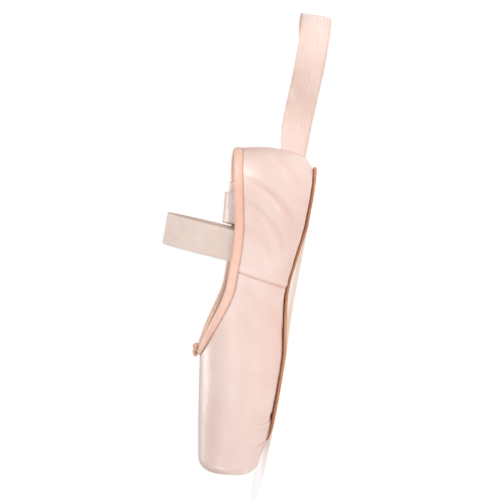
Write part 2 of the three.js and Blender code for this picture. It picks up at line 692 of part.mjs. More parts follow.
// Along a route the ribbon's width is level across it, then turned about the route by its tilt.
function makeRibbon(route) {
  const RIBBON_STEPS = 74;
  const STEEP = 0.6;
  const line = new THREE.CatmullRomCurve3(route.map(({ x, y, z }) => new THREE.Vector3(x, y, z)));
  const stations = [];
  for (let i = 0; i <= RIBBON_STEPS; i += 1) {
    const t = i / RIBBON_STEPS;
    const point = line.getPoint(t);
    const forward = line.getTangent(t);
    const at = Math.min(Math.floor(t * (route.length - 1)), route.length - 2);
    const between = t * (route.length - 1) - at;
    const tilt = (route[at].tilt * (1 - between) + route[at + 1].tilt * between) * Math.PI / 180;
    const level = Math.hypot(forward.x, forward.y);
    const across = new THREE.Vector3(forward.y, -forward.x, 0);
    if (level < STEEP || point.z > RIBBON_WIDTH / 2 + 1) across.set(-1, 0, 0);
    across.addScaledVector(forward, -across.dot(forward)).normalize();
    const upper = across.clone().cross(forward);
    const width = across.clone().multiplyScalar(Math.cos(tilt)).addScaledVector(upper, Math.sin(tilt));
    const half = width.clone().multiplyScalar(RIBBON_WIDTH / 2);
    point.z = Math.max(point.z, Math.abs(half.z) + RIBBON_THICKNESS / 2 + GAP);
    stations.push({
      edges: [point.clone().sub(half), point.clone().add(half)],
      out: width.clone().cross(forward).normalize(),
    });
  }
  return bandSolid(stations, RIBBON_THICKNESS);
}

const SATIN = { color: 0xecd0c4, roughness: 0.42, metalness: 0 };
const LEATHER = { color: 0xf0d6be, roughness: 0.7, metalness: 0 };
const LINING = { color: 0xe6d8c8, roughness: 0.9, metalness: 0 };
const CASING = { color: 0xf0bfa2, roughness: 0.5, metalness: 0 };
const COTTON = { color: 0xf0c8b0, roughness: 0.8, metalness: 0 };
const ELASTIC = { color: 0xdccfc6, roughness: 0.85, metalness: 0 };

const shoe = new THREE.Group();

function addPiece(name, solid, finish) {
  const mesh = new THREE.Mesh(geometryOf(solid), new THREE.MeshStandardMaterial(finish));
  mesh.name = name;
  shoe.add(mesh);
}

addPiece('upper', makeUpper(), SATIN);
addPiece('outsole', makeOutsole(), LEATHER);
addPiece('insole', makeInsole(), LINING);
addPiece('collar_binding', makeBinding(), CASING);
addPiece('drawstring_knot', makeKnot(), COTTON);
addPiece('instep_elastic', makeElastic(), ELASTIC);

// The shoe's own middle stands over the origin; the ribbons lie where they fall.
const box = new THREE.Box3().setFromObject(shoe, true);
shoe.position.x = -(box.min.x + box.max.x) / 2;

addPiece('ribbon_right', makeRibbon(RIGHT_ROUTE), SATIN);
addPiece('ribbon_left', makeRibbon(LEFT_ROUTE), SATIN);

export default shoe;
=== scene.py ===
"""A satin pointe shoe standing empty on its sole: the looks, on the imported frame. Metres."""
import math

import bmesh
import bpy
import numpy as np
from mathutils import Matrix, Vector


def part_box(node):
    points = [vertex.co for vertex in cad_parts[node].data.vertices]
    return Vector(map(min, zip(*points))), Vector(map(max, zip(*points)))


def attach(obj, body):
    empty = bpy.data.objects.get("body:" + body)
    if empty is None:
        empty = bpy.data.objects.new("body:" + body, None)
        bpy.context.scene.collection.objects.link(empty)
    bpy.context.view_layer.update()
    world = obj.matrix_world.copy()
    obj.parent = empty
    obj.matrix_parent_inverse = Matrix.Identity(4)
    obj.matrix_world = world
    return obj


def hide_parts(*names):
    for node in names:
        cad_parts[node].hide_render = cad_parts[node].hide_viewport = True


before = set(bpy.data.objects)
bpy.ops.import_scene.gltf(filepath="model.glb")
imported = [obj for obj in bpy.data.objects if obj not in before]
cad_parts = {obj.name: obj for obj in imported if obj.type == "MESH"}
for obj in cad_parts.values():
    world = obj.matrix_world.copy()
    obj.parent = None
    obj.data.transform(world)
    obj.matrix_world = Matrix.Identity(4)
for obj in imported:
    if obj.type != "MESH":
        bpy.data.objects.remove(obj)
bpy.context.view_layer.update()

MM = 0.001

# The last, in millimetres, x from the back of the heel
LENGTH = 230
HEEL_WIDTH = 57
WAIST_WIDTH = 54
BALL_WIDTH = 76
BOX_WIDTH = 66
TOE_WIDTH = 57
TOE_HEIGHT = 39
TOE_ROUNDING = 8
TOE_SLANT = math.radians(7)
HEEL_CENTRE = 31
HEEL_SQUARENESS = 2.2
WIDEST_HEIGHT = 22
INSTEP_HEIGHT = 82
ARCH_RISE = 5
TOE_SPRING = 4

# The collar
HEEL_HEIGHT = 58
SIDE_HEIGHT = 48
THROAT_HEIGHT = 59
VAMP_LENGTH = 83
THROAT_X = LENGTH - VAMP_LENGTH
THROAT_CURVE = 0.2 * LENGTH

# The pieces
WALL = 2
BOX_WALL = 3
GAP = 0.3
SOLE_THICKNESS = 2
SOLE_START = 8
SOLE_LENGTH = 197
SOLE_HEEL_WIDTH = 35
SOLE_WAIST_WIDTH = 26
SOLE_BALL_WIDTH = 53
SOLE_MARGIN = 7
BOTTOM = SOLE_THICKNESS + GAP
TREAD_START = 118
INSOLE_THICKNESS = 2
INSOLE_TOE_GAP = 12
SEAM_HEIGHT = 0.8
SEAM_WIDTH = 2.6
SIDE_SEAM_X = 89
SIDE_SEAM_LEAN = 8
BINDING_WIDTH = 5
BINDING_THICKNESS = 0.9
KNOT_LENGTH = 10
ELASTIC_X = 73
ELASTIC_WIDTH = 22
ELASTIC_THICKNESS = 1
ELASTIC_TOP = 97
ELASTIC_FOOT = 22
ELASTIC_LEAN = 5
RIBBON_WIDTH = 22

# How far the shoe's own middle lies from the back of its heel
MIDDLE = SOLE_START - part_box("outsole")[0][0] / MM
# Points that are nearer than this are one
SAME_SPOT = 0.0005
# A section's q from here on is the middle of its top
TOP_MIDDLE = 3 - 1e-9

# ---------------------------------------------------------------- the last


def through(rows):
    """A cubic line through rows of (position, value). Its slope at a row comes from the two neighbours,
    and is level where a neighbour has the same value and at the first row."""
    at, value = np.array(rows, dtype=float).T
    slope = np.empty_like(at)
    slope[1:-1] = (value[2:] - value[:-2]) / (at[2:] - at[:-2])
    slope[-1] = (value[-1] - value[-2]) / (at[-1] - at[-2])
    same = np.diff(value) == 0
    slope[:-1][same] = 0
    slope[1:][same] = 0
    slope[0] = 0

    def line(x):
        x = np.clip(np.asarray(x, dtype=float), at[0], at[-1])
        i = np.clip(np.searchsorted(at, x, side="left") - 1, 0, len(at) - 2)
        step = at[i + 1] - at[i]
        t = (x - at[i]) / step
        near = (1 + 2 * t) * (1 - t) ** 2 * value[i] + t * (1 - t) ** 2 * step * slope[i]
        return near + t * t * (3 - 2 * t) * value[i + 1] - t * t * (1 - t) * step * slope[i + 1]

    return line


def shares(rows):
    """Rows of (share of LENGTH, value) as rows of (position, value)."""
    return [(share * LENGTH, value) for share, value in rows]


half_width = through(shares([
    (0.13, HEEL_WIDTH / 2),
    (0.41, WAIST_WIDTH / 2),
    (0.70, BALL_WIDTH / 2),
    (0.80, (BALL_WIDTH - 0.3 * (BALL_WIDTH - BOX_WIDTH)) / 2),
    (0.90, BOX_WIDTH / 2),
    (1.00, TOE_WIDTH / 2),
]))
bottom_height = through(shares([
    (0.00, BOTTOM),
    (0.20, BOTTOM),
    (0.32, BOTTOM + 0.6 * ARCH_RISE),
    (0.42, BOTTOM + ARCH_RISE),
    (0.52, BOTTOM + 0.55 * ARCH_RISE),
    (0.62, BOTTOM),
    (0.83, BOTTOM),
    (1.00, BOTTOM + TOE_SPRING),
]))
TOE_TOP = BOTTOM + TOE_SPRING + TOE_HEIGHT
top_height = through([
    (0, INSTEP_HEIGHT),
    (0.25 * LENGTH, INSTEP_HEIGHT),
    (THROAT_X - 0.16 * LENGTH, THROAT_HEIGHT + 0.36 * (INSTEP_HEIGHT - THROAT_HEIGHT)),
    (THROAT_X - 0.06 * LENGTH, THROAT_HEIGHT + 0.12 * (INSTEP_HEIGHT - THROAT_HEIGHT)),
    (THROAT_X, THROAT_HEIGHT),
    (THROAT_X + 0.5 * VAMP_LENGTH, THROAT_HEIGHT - 0.46 * (THROAT_HEIGHT - TOE_TOP)),
    (LENGTH, TOE_TOP),
])
flat_share = through(shares([(0, 0.66), (0.42, 0.46), (0.7, 0.6), (1, 0.4)]))
lower_squareness = through(shares([(0, 2), (0.42, 2), (0.7, 2.2), (1, 2.2)]))
upper_squareness = through(shares([(0, 2), (0.5, 2.1), (1, 2.3)]))
collar_height = through([
    (0, HEEL_HEIGHT),
    (0.11 * LENGTH, HEEL_HEIGHT - 0.25 * (HEEL_HEIGHT - SIDE_HEIGHT)),
    (0.26 * LENGTH, HEEL_HEIGHT - 0.85 * (HEEL_HEIGHT - SIDE_HEIGHT)),
    (0.38 * LENGTH, SIDE_HEIGHT),
    (THROAT_X, SIDE_HEIGHT),
])
sole_half = through([(SOLE_START + share * SOLE_LENGTH, half) for share, half in (
    (0, 0.43 * SOLE_HEEL_WIDTH),
    (0.12, SOLE_HEEL_WIDTH / 2),
    (0.24, (SOLE_WAIST_WIDTH + 0.55 * (SOLE_HEEL_WIDTH - SOLE_WAIST_WIDTH)) / 2),
    (0.42, SOLE_WAIST_WIDTH / 2),
    (0.58, (SOLE_WAIST_WIDTH + 0.45 * (SOLE_BALL_WIDTH - SOLE_WAIST_WIDTH)) / 2),
    (0.77, SOLE_BALL_WIDTH / 2),
    (1, 0.43 * SOLE_BALL_WIDTH),
)])


def smooth(x, low, high):
    """0 below low, 1 above high, an S-shaped cubic between."""
    t = np.clip((np.asarray(x, dtype=float) - low) / (high - low), 0, 1)
    return t * t * (3 - 2 * t)


def bell(x, width):
    """1 at x = 0 and 0.37 at width, on both sides."""
    return np.exp(-((x / width) ** 2))


def section_at(x):
    """The last's cross section at x: half width, bottom, top, height of the widest point, flat part of
    the bottom and the two corner exponents. The toe end is drawn in by a quarter circle."""
    x = np.asarray(x, dtype=float)
    into = np.clip((x - LENGTH + TOE_ROUNDING) / TOE_ROUNDING, 0, 1)
    inset = TOE_ROUNDING * (1 - np.sqrt(1 - into * into))
    half, bottom, top = half_width(x), bottom_height(x), top_height(x)
    return {
        "half": half - inset,
        "bottom": bottom + inset,
        "top": top - inset,
        "widest": bottom + WIDEST_HEIGHT * np.clip((top - bottom) / (THROAT_HEIGHT - BOTTOM), 0, 1),
        "flat": flat_share(x) * (half - inset),
        "lower": lower_squareness(x),
        "upper": upper_squareness(x),
    }


def along_section(s, q):
    """Reach and height along half a section. q runs 0 to 1 on the flat bottom, 1 to 2 up a superellipse
    quarter to the widest point, and 2 to 3 over another to the middle of the top."""
    low = np.pi / 2 * np.clip(2 - q, 0, 1)
    high = np.pi / 2 * np.clip(q - 2, 0, 1)
    reach = np.where(
        q <= 1, s["flat"] * np.clip(q, 0, 1),
        np.where(q <= 2, s["flat"] + (s["half"] - s["flat"]) * np.cos(low) ** (2 / s["lower"]),
                 s["half"] * np.maximum(np.cos(high), 0) ** (2 / s["upper"])))
    reach = np.where(q >= TOP_MIDDLE, 0, reach)
    height = np.where(
        q <= 2, s["widest"] - (s["widest"] - s["bottom"]) * np.sin(low) ** (2 / s["lower"]),
        s["widest"] + (s["top"] - s["widest"]) * np.sin(high) ** (2 / s["upper"]))
    return reach, height


def reach_at(s, height):
    """The wall's reach at a height of a section."""
    drop = np.clip((s["widest"] - height) / (s["widest"] - s["bottom"]), 0, 1)
    below = s["flat"] + (s["half"] - s["flat"]) * (1 - drop ** s["lower"]) ** (1 / s["lower"])
    rise = np.clip((height - s["widest"]) / (s["top"] - s["widest"]), 0, 1)
    above = s["half"] * (1 - rise ** s["upper"]) ** (1 / s["upper"])
    return np.where(height < s["widest"], below, above)


def wall_at(x):
    """The wall's thickness: WALL as far as the throat, growing to BOX_WALL at the toe."""
    return WALL + (BOX_WALL - WALL) * smooth(x, THROAT_X, LENGTH - TOE_ROUNDING)


def heel_reach(turn):
    """Plan reach from the heel centre in a direction: a superellipse HEEL_CENTRE long."""
    along = np.abs(np.cos(turn)) / HEEL_CENTRE
    across = np.abs(np.sin(turn)) / half_width(HEEL_CENTRE)
    return 1 / (along ** HEEL_SQUARENESS + across ** HEEL_SQUARENESS) ** (1 / HEEL_SQUARENESS)


def place(x, turn, reach, height):
    """A point of a row in the shoe's own frame: rows near the side seam lean, and the toe end slants."""
    lean = bell(x - SIDE_SEAM_X, 0.13 * LENGTH) * SIDE_SEAM_LEAN
    upright = (height - SIDE_HEIGHT / 2) / SIDE_HEIGHT
    slant = smooth(x, LENGTH - TOE_WIDTH, LENGTH) * math.tan(TOE_SLANT)
    middle = TOE_TOP - TOE_HEIGHT / 2
    return np.stack([
        x + np.cos(turn) * reach - lean * upright + slant * (height - middle),
        np.sin(turn) * reach,
        height + 0 * reach,
    ], axis=-1)


def sole_outline(margin, steps=160):
    """Plan outline of the sole drawn in by a margin, one half, heel to toe, as x and half width. Each
    end is rounded off by a quarter ellipse."""
    start, long = SOLE_START + margin, SOLE_LENGTH - 2 * margin
    x = start + long * (1 - np.cos(np.pi * np.linspace(0, 1, steps + 1))) / 2
    heel_end = np.clip((x - start) / (0.5 * SOLE_HEEL_WIDTH), 0, 1)
    toe_end = np.clip((start + long - x) / (0.52 * SOLE_BALL_WIDTH), 0, 1)
    round_ends = np.sqrt(1 - (1 - heel_end) ** 2) * np.sqrt(1 - (1 - toe_end) ** 2)
    return x, np.maximum(0, (sole_half(x) - margin) * round_ends)


# ---------------------------------------------------------------- lines, grids and meshes


def unit(vectors):
    """The vectors at length 1."""
    return vectors / np.maximum(np.linalg.norm(vectors, axis=-1, keepdims=True), 1e-12)


def square_to(vectors, direction):
    """The part of the vectors that is square to a direction, at length 1."""
    return unit(vectors - direction * np.sum(vectors * direction, -1, keepdims=True))


def lengths_along(line):
    """The length from a line's first point to each of its points."""
    return np.concatenate([[0], np.cumsum(np.linalg.norm(np.diff(line, axis=0), axis=-1))])


def ease(line, times):
    """Moves each inner row halfway to the mean of its two neighbours, in place, several times."""
    for _ in range(times):
        line[1:-1] = (line[:-2] + 2 * line[1:-1] + line[2:]) / 4


def value_noise(p, size, seed):
    """Smooth noise from -1 to 1 at points p, with features about size across: random values on a
    lattice, blended by a smooth cubic along each axis."""
    LATTICE = 32
    FAR = 1000
    table = np.random.default_rng(seed).uniform(-1, 1, (LATTICE, LATTICE, LATTICE))
    q = p / size + FAR
    i = np.floor(q).astype(int)
    t = q - i
    t = t * t * (3 - 2 * t)
    total = 0
    for corner in np.ndindex(2, 2, 2):
        weight = np.prod(np.abs(1 - np.array(corner) - t), axis=-1)
        spot = (i + np.array(corner)) % LATTICE
        total = total + weight * table[spot[..., 0], spot[..., 1], spot[..., 2]]
    return total


def normals_of(p):
    """Unit normals of a grid of points: the cross product of its differences along rows and columns."""
    return unit(np.cross(np.gradient(p, axis=0), np.gradient(p, axis=1)))


def quads(rows, columns, offset=0, wrap_rows=False, wrap_columns=False, flip=False):
    """Faces of a grid of points numbered row by row."""
    i = np.arange(rows if wrap_rows else rows - 1)
    j = np.arange(columns if wrap_columns else columns - 1)
    i, j = np.meshgrid(i, j, indexing="ij")
    ni, nj = (i + 1) % rows, (j + 1) % columns
    faces = np.stack([i * columns + j, ni * columns + j, ni * columns + nj, i * columns + nj], -1)
    faces = faces.reshape(-1, 4) + offset
    return faces[:, ::-1] if flip else faces


def slab(xx, y, under, over):
    """Points and faces of two grids one over the other, the under one first, closed at both sides."""
    rows, columns = xx.shape
    points = np.concatenate([np.stack([xx, y, height], -1).reshape(-1, 3) for height in (under, over)])
    n = rows * columns
    i = np.arange(rows - 1) * columns
    ahead = i + columns
    last = columns - 1
    left = np.stack([i, ahead, n + ahead, n + i], -1)
    right = left[:, ::-1] + last
    return points, [quads(rows, columns, flip=True), quads(rows, columns, n), left, right]


def closed_band(over, under):
    """Points and faces of a band: its over and under grids as one ring a row, closed at both ends."""
    rows, columns = over.shape[:2]
    around = 2 * columns
    j = np.arange(columns - 1)
    faces = [quads(rows, around, wrap_columns=True)]
    for first in (0, (rows - 1) * around):
        faces.append(first + np.stack([j, j + 1, around - 2 - j, around - 1 - j], -1))
    return both_ways(over, under), np.concatenate(faces)


def both_ways(over, under):
    """A band's over grid and then its under grid backwards, as one ring a row."""
    return np.concatenate([over, under[:, ::-1]], 1)


def grid_uv(first, second):
    """UV of a grid of points, in millimetres."""
    return np.stack(np.broadcast_arrays(first, second), -1)


def in_metres(points):
    """Points in shoe millimetres as metres from the frame's origin."""
    return (points - np.array([MIDDLE, 0, 0])) * MM


def add_object(name, data):
    """An object with this data, in the scene."""
    made = bpy.data.objects.new(name, data)
    bpy.context.scene.collection.objects.link(made)
    return made


def mesh_piece(name, points, faces, materials, zones=None, uv=None, attributes=None, merge=0.0):
    """A smooth-shaded mesh object from points in shoe millimetres and quads, with its finishes. Points
    nearer than merge become one, which closes poles and joins grids."""
    place_m = in_metres(np.asarray(points, dtype=float).reshape(-1, 3))
    faces = np.asarray(faces, dtype=int)
    mesh = bpy.data.meshes.new(name)
    mesh.vertices.add(len(place_m))
    mesh.vertices.foreach_set("co", place_m.ravel())
    mesh.loops.add(faces.size)
    mesh.loops.foreach_set("vertex_index", faces.ravel())
    mesh.polygons.add(len(faces))
    mesh.polygons.foreach_set("loop_start", np.arange(0, faces.size, 4))
    if zones is not None:
        mesh.polygons.foreach_set("material_index", np.asarray(zones, dtype=int))
    for key, values in (attributes or {}).items():
        layer = mesh.attributes.new(key, "FLOAT", "POINT")
        layer.data.foreach_set("value", np.asarray(values, dtype=np.float32).ravel())
    if uv is not None:
        layer = mesh.uv_layers.new(name="UVMap")
        corners = np.asarray(uv, dtype=np.float32).reshape(-1, 2)[faces.ravel()]
        layer.data.foreach_set("uv", corners.ravel())
    mesh.update(calc_edges=True)
    if merge:
        bm = bmesh.new()
        bm.from_mesh(mesh)
        bmesh.ops.remove_doubles(bm, verts=bm.verts, dist=merge * MM)
        bmesh.ops.dissolve_degenerate(bm, edges=bm.edges, dist=merge * MM / 4)
        bm.to_mesh(mesh)
        bm.free()
    mesh.validate()
    mesh.polygons.foreach_set("use_smooth", np.ones(len(mesh.polygons), dtype=bool))
    for material in materials:
        mesh.materials.append(material)
    return add_object(name, mesh)


def outward_faces(piece):
    """Turns a closed piece's faces outwards: all one way first, and then over where the volume they
    enclose comes out negative."""
    bm = bmesh.new()
    bm.from_mesh(piece.data)
    bmesh.ops.recalc_face_normals(bm, faces=bm.faces)
    if bm.calc_volume(signed=True) < 0:
        bmesh.ops.reverse_faces(bm, faces=bm.faces)
    bm.to_mesh(piece.data)
    bm.free()


# ---------------------------------------------------------------- finishes


def finish_nodes(name, roughness=0.5, sheen=0.0, sheen_tint=(1, 1, 1), coat=0.0, coat_roughness=0.3,
                 subsurface=0.0, anisotropic=0.0, specular=0.5):
    """A material with its main shader, its constants set on the shader's own sockets."""
    material = bpy.data.materials.new(name)
    material.use_nodes = True
    tree = material.node_tree
    shader = tree.nodes["Principled BSDF"]
    constants = {
        "Roughness": roughness, "Sheen Weight": sheen, "Sheen Roughness": 0.35,
        "Sheen Tint": (*sheen_tint, 1), "Coat Weight": coat, "Coat Roughness": coat_roughness,
        "Specular IOR Level": specular, "Anisotropic": anisotropic,
    }
    if subsurface:
        constants["Subsurface Weight"] = subsurface
        constants["Subsurface Radius"] = (1.0, 0.45, 0.3)
        constants["Subsurface Scale"] = 0.0025
    for socket, value in constants.items():
        shader.inputs[socket].default_value = value
    return material, tree, shader


def object_place(tree):
    """Object coordinates, in metres."""
    return tree.nodes.new("ShaderNodeTexCoord").outputs["Object"]


def cloth_place(tree):
    """The piece's own UV map, in millimetres along the cloth."""
    where = tree.nodes.new("ShaderNodeUVMap")
    where.uv_map = "UVMap"
    return where.outputs["UV"]


def noise_at(tree, where, scale, detail, stretch, rough):
    """Noise at a place, stretched by a Mapping node."""
    mapping = tree.nodes.new("ShaderNodeMapping")
    mapping.inputs["Scale"].default_value = stretch
    noise = tree.nodes.new("ShaderNodeTexNoise")
    noise.inputs["Scale"].default_value = scale
    noise.inputs["Detail"].default_value = detail
    noise.inputs["Roughness"].default_value = rough
    tree.links.new(where, mapping.inputs["Vector"])
    tree.links.new(mapping.outputs["Vector"], noise.inputs["Vector"])
    return noise.outputs["Fac"]


def object_noise(tree, scale, detail=3.0, stretch=(1, 1, 1)):
    """Noise on Object coordinates."""
    return noise_at(tree, object_place(tree), scale, detail, stretch, 0.55)


def cloth_noise(tree, stretch):
    """Noise on the piece's own UV map, stretched into threads."""
    return noise_at(tree, cloth_place(tree), 1, 1, (*stretch, 1), 0.5)


def waves_at(tree, where, direction, scale, distortion=0.0):
    """Even waves at a place, as of a rib, a twill or a braid."""
    waves = tree.nodes.new("ShaderNodeTexWave")
    waves.bands_direction = direction
    waves.inputs["Scale"].default_value = scale
    waves.inputs["Distortion"].default_value = distortion
    tree.links.new(where, waves.inputs["Vector"])
    return waves.outputs["Fac"]


def blend_colours(tree, factor, first, second):
    """A blend of two colours, each a tuple or a socket."""
    mix = tree.nodes.new("ShaderNodeMix")
    mix.data_type = "RGBA"
    tree.links.new(factor, mix.inputs["Factor"])
    for socket, colour in (("A", first), ("B", second)):
        target = [s for s in mix.inputs if s.name == socket and s.type == "RGBA"][0]
        if isinstance(colour, tuple):
            target.default_value = (*colour, 1)
        else:
            tree.links.new(colour, target)
    return [s for s in mix.outputs if s.type == "RGBA"][0]


def remap(tree, value, low, high, to_low, to_high):
    """A value from one range in another, held at its ends."""
    node = tree.nodes.new("ShaderNodeMapRange")
    for key, number in (("From Min", low), ("From Max", high), ("To Min", to_low), ("To Max", to_high)):
        node.inputs[key].default_value = number
    tree.links.new(value, node.inputs["Value"])
    return node.outputs["Result"]


def bump(tree, height, distance, strength=1.0, onto=None):
    """A relief, distance metres high, onto another one where that is given."""
    node = tree.nodes.new("ShaderNodeBump")
    node.inputs["Distance"].default_value = distance
    node.inputs["Strength"].default_value = strength
    tree.links.new(height, node.inputs["Height"])
    if onto is not None:
        tree.links.new(onto, node.inputs["Normal"])
    return node.outputs["Normal"]


def attribute(tree, name):
    """A value that the mesh carries at its points."""
    node = tree.nodes.new("ShaderNodeAttribute")
    node.attribute_name = name
    return node.outputs["Fac"]


def linear(r, g, b):
    """Linear colour from screen values 0 to 255."""
    return tuple(((c / 255 + 0.055) / 1.055) ** 2.4 if c > 10 else c / 255 / 12.92 for c in (r, g, b))


def satin(name, light, deep, tint_and_shade_colour, roughness=0.37, gloss=0.4, streaky=1.0, thread=None):
    """Satin: a clouded tint; painted shade, a deeper colour, in its folds; floats and slubs streaked along
    the cloth; a soft gloss that the streaks break up. The streaks follow the shoe's length, or the piece's
    own UV where their numbers to the millimetre, first way and second, are given."""
    material, tree, shader = finish_nodes(
        name, roughness, sheen=0.18, sheen_tint=(1.0, 0.92, 0.89), coat=gloss, coat_roughness=0.34,
        subsurface=0.1, anisotropic=0.4, specular=1.0)
    cloud = object_noise(tree, 26, 2)
    base = blend_colours(tree, remap(tree, cloud, 0.35, 0.65, 0, 1), light, deep)
    if thread:
        slubs = cloth_noise(tree, (thread[0] * 0.3, thread[1] * 0.3))
        fine = cloth_noise(tree, thread)
    else:
        slubs = object_noise(tree, 420, 3, (0.09, 1, 1))
        fine = object_noise(tree, 1700, 3, (0.07, 1, 1))
    base = blend_colours(tree, remap(tree, slubs, 0.3, 0.75, 0, 0.16), base, deep)
    # Painted shade: the mesh's own attribute mixes in the deeper colour, in the folds, pleats and seams of
    # the upper and the casing; on the ribbons it is a plain deeper tint along the long edges.
    base = blend_colours(tree, attribute(tree, "tint_and_painted_shade"), base, tint_and_shade_colour)
    tree.links.new(base, shader.inputs["Base Color"])
    gloss_broken = remap(tree, slubs, 0.3, 0.7, roughness - 0.06, roughness + 0.08)
    tree.links.new(gloss_broken, shader.inputs["Roughness"])
    floats = bump(tree, fine, 0.00012, 0.5 * streaky)
    wide = bump(tree, slubs, 0.0003, 0.3 * streaky, floats)
    tree.links.new(bump(tree, object_noise(tree, 130), 0.0003, 0.25, wide), shader.inputs["Normal"])
    return material


def make_lining():
    """Matt drill cotton: a fine diagonal twill with a few slubs."""
    material, tree, shader = finish_nodes("lining_drill", 0.9, sheen=0.15)
    base = blend_colours(tree, object_noise(tree, 90, 4), linear(246, 236, 224), linear(236, 222, 206))
    tree.links.new(base, shader.inputs["Base Color"])
    twill = bump(tree, waves_at(tree, object_place(tree), "DIAGONAL", 210, 1.5), 0.00006, 0.3)
    tree.links.new(bump(tree, object_noise(tree, 700), 0.0001, 0.4, twill), shader.inputs["Normal"])
    return material


def make_leather():
    """Sole leather: a tan, faintly mottled grain, browner at its cut edge and in its scored lines."""
    material, tree, shader = finish_nodes("sole_leaf_leather", 0.62, sheen=0.05, coat=0.05)
    mottled = blend_colours(tree, object_noise(tree, 60, 5), linear(243, 218, 194), linear(232, 200, 170))
    scored = blend_colours(tree, attribute(tree, "score"), mottled, linear(176, 138, 104))
    edged = blend_colours(tree, attribute(tree, "edge"), scored, linear(194, 136, 100))
    tree.links.new(edged, shader.inputs["Base Color"])
    grain = tree.nodes.new("ShaderNodeTexVoronoi")
    grain.inputs["Scale"].default_value = 1500
    tree.links.new(object_place(tree), grain.inputs["Vector"])
    pebbled = bump(tree, grain.outputs["Distance"], 0.00008, 0.35)
    tree.links.new(bump(tree, object_noise(tree, 260, 4), 0.00015, 0.4, pebbled), shader.inputs["Normal"])
    return material


def make_sock():
    """The insole's sock: soft cotton, a little darker where a heel and ball have pressed."""
    material, tree, shader = finish_nodes("sock_cotton", 0.88, sheen=0.2)
    base = blend_colours(tree, object_noise(tree, 75, 4), linear(246, 234, 218), linear(236, 220, 202))
    pressed = blend_colours(tree, attribute(tree, "tint_and_painted_shade"), base, linear(196, 168, 146))
    tree.links.new(pressed, shader.inputs["Base Color"])
    weave = None
    for threads in ((1, 0.25, 1), (0.25, 1, 1)):
        weave = bump(tree, object_noise(tree, 1500, 2, threads), 0.0001, 0.45, weave)
    tree.links.new(weave, shader.inputs["Normal"])
    return material


def make_elastic_web():
    """Knitted elastic: close ribs along the band and finer courses across it, thin enough to glow."""
    material, tree, shader = finish_nodes("elastic_knit", 0.78, sheen=0.25, subsurface=0.25)
    where = cloth_place(tree)
    ribs = waves_at(tree, where, "X", 0.128)
    courses = waves_at(tree, where, "Y", 0.24, 0.8)
    tone = blend_colours(tree, ribs, linear(213, 197, 188), linear(218, 203, 194))
    clouds = remap(tree, object_noise(tree, 120), 0.3, 0.7, 0, 0.5)
    tree.links.new(blend_colours(tree, clouds, tone, linear(206, 186, 176)), shader.inputs["Base Color"])
    ribbed = bump(tree, ribs, 0.00012, 0.6)
    tree.links.new(bump(tree, courses, 0.00006, 0.5, ribbed), shader.inputs["Normal"])
    return material


def make_cord():
    """Soft braided cotton of the drawstring."""
    material, tree, shader = finish_nodes("drawstring_braid", 0.75, sheen=0.25)
    base = blend_colours(tree, object_noise(tree, 300), linear(244, 202, 180), linear(226, 172, 146))
    tree.links.new(base, shader.inputs["Base Color"])
    braid = waves_at(tree, cloth_place(tree), "DIAGONAL", 0.35)
    tree.links.new(bump(tree, braid, 0.00025, 0.8), shader.inputs["Normal"])
    return material


def make_thread():
    """Sewing thread, a little glossy."""
    material, tree, shader = finish_nodes("sewing_thread", 0.55, sheen=0.2)
    base = blend_colours(tree, object_noise(tree, 900, 2), linear(238, 204, 186), linear(220, 176, 154))
    tree.links.new(base, shader.inputs["Base Color"])
    tree.links.new(bump(tree, object_noise(tree, 2500, 2), 0.00006, 0.5), shader.inputs["Normal"])
    return material


SATIN = satin("peach_satin", linear(228, 205, 197), linear(221, 193, 183), linear(212, 156, 135))
RIBBON = satin("ribbon_satin_weave", linear(235, 211, 203), linear(228, 200, 190), linear(214, 162, 143),
               roughness=0.3, streaky=0.1, thread=(0.12, 3.0))
CASING = satin("casing_bias_satin", linear(234, 194, 176), linear(228, 180, 159), linear(206, 138, 112),
               roughness=0.46, gloss=0.1, streaky=1.3, thread=(1.3, 0.2))
LINING = make_lining()
LEATHER = make_leather()
SOCK = make_sock()
ELASTIC = make_elastic_web()
CORD = make_cord()
THREAD = make_thread()

# ---------------------------------------------------------------- the upper

OPEN_X, OPEN_HALF = sole_outline(SOLE_MARGIN)
# A row whose cut is more than this ends at the collar
OPEN_FROM = 0.001


def half_rows():
    """The +Y side's rows from the middle of the platform to the back of the heel: x, turn, the share
    by which a row is drawn in towards the platform's middle, and cut, 0 where a row runs to the middle
    of the top and else the share of the full reach at which the collar cuts it."""
    HUB_ROWS, ROUNDING_ROWS, VAMP_ROWS, THROAT_ROWS, SIDE_ROWS, HEEL_ROWS = 19, 13, 128, 52, 74, 48
    hub = np.linspace(0, 1, HUB_ROWS)[:-1] ** 0.8
    quarter = np.pi / 2 * np.linspace(1, 0, ROUNDING_ROWS)[:-1]
    rounding = LENGTH - TOE_ROUNDING + TOE_ROUNDING * np.sin(quarter)
    ahead = np.linspace(LENGTH - TOE_ROUNDING, THROAT_X, VAMP_ROWS)[:-1]
    share = np.linspace(np.pi / 2, 0, THROAT_ROWS)[:-1]
    throat = THROAT_X - THROAT_CURVE + THROAT_CURVE * np.sin(share)
    side = np.linspace(THROAT_X - THROAT_CURVE, HEEL_CENTRE, SIDE_ROWS)[:-1]
    turn = np.linspace(np.pi / 2, np.pi, HEEL_ROWS)
    x = np.concatenate([np.full(len(hub), LENGTH), rounding, ahead, throat, side,
                        np.full(len(turn), HEEL_CENTRE)])
    turns = np.concatenate([np.full(len(x) - len(turn), np.pi / 2), turn])
    drawn = np.concatenate([hub, np.ones(len(x) - len(hub))])
    cut = np.concatenate([np.zeros(len(hub) + len(rounding) + len(ahead)), np.cos(share),
                          np.ones(len(side) + len(turn))])
    return x, turns, drawn, cut


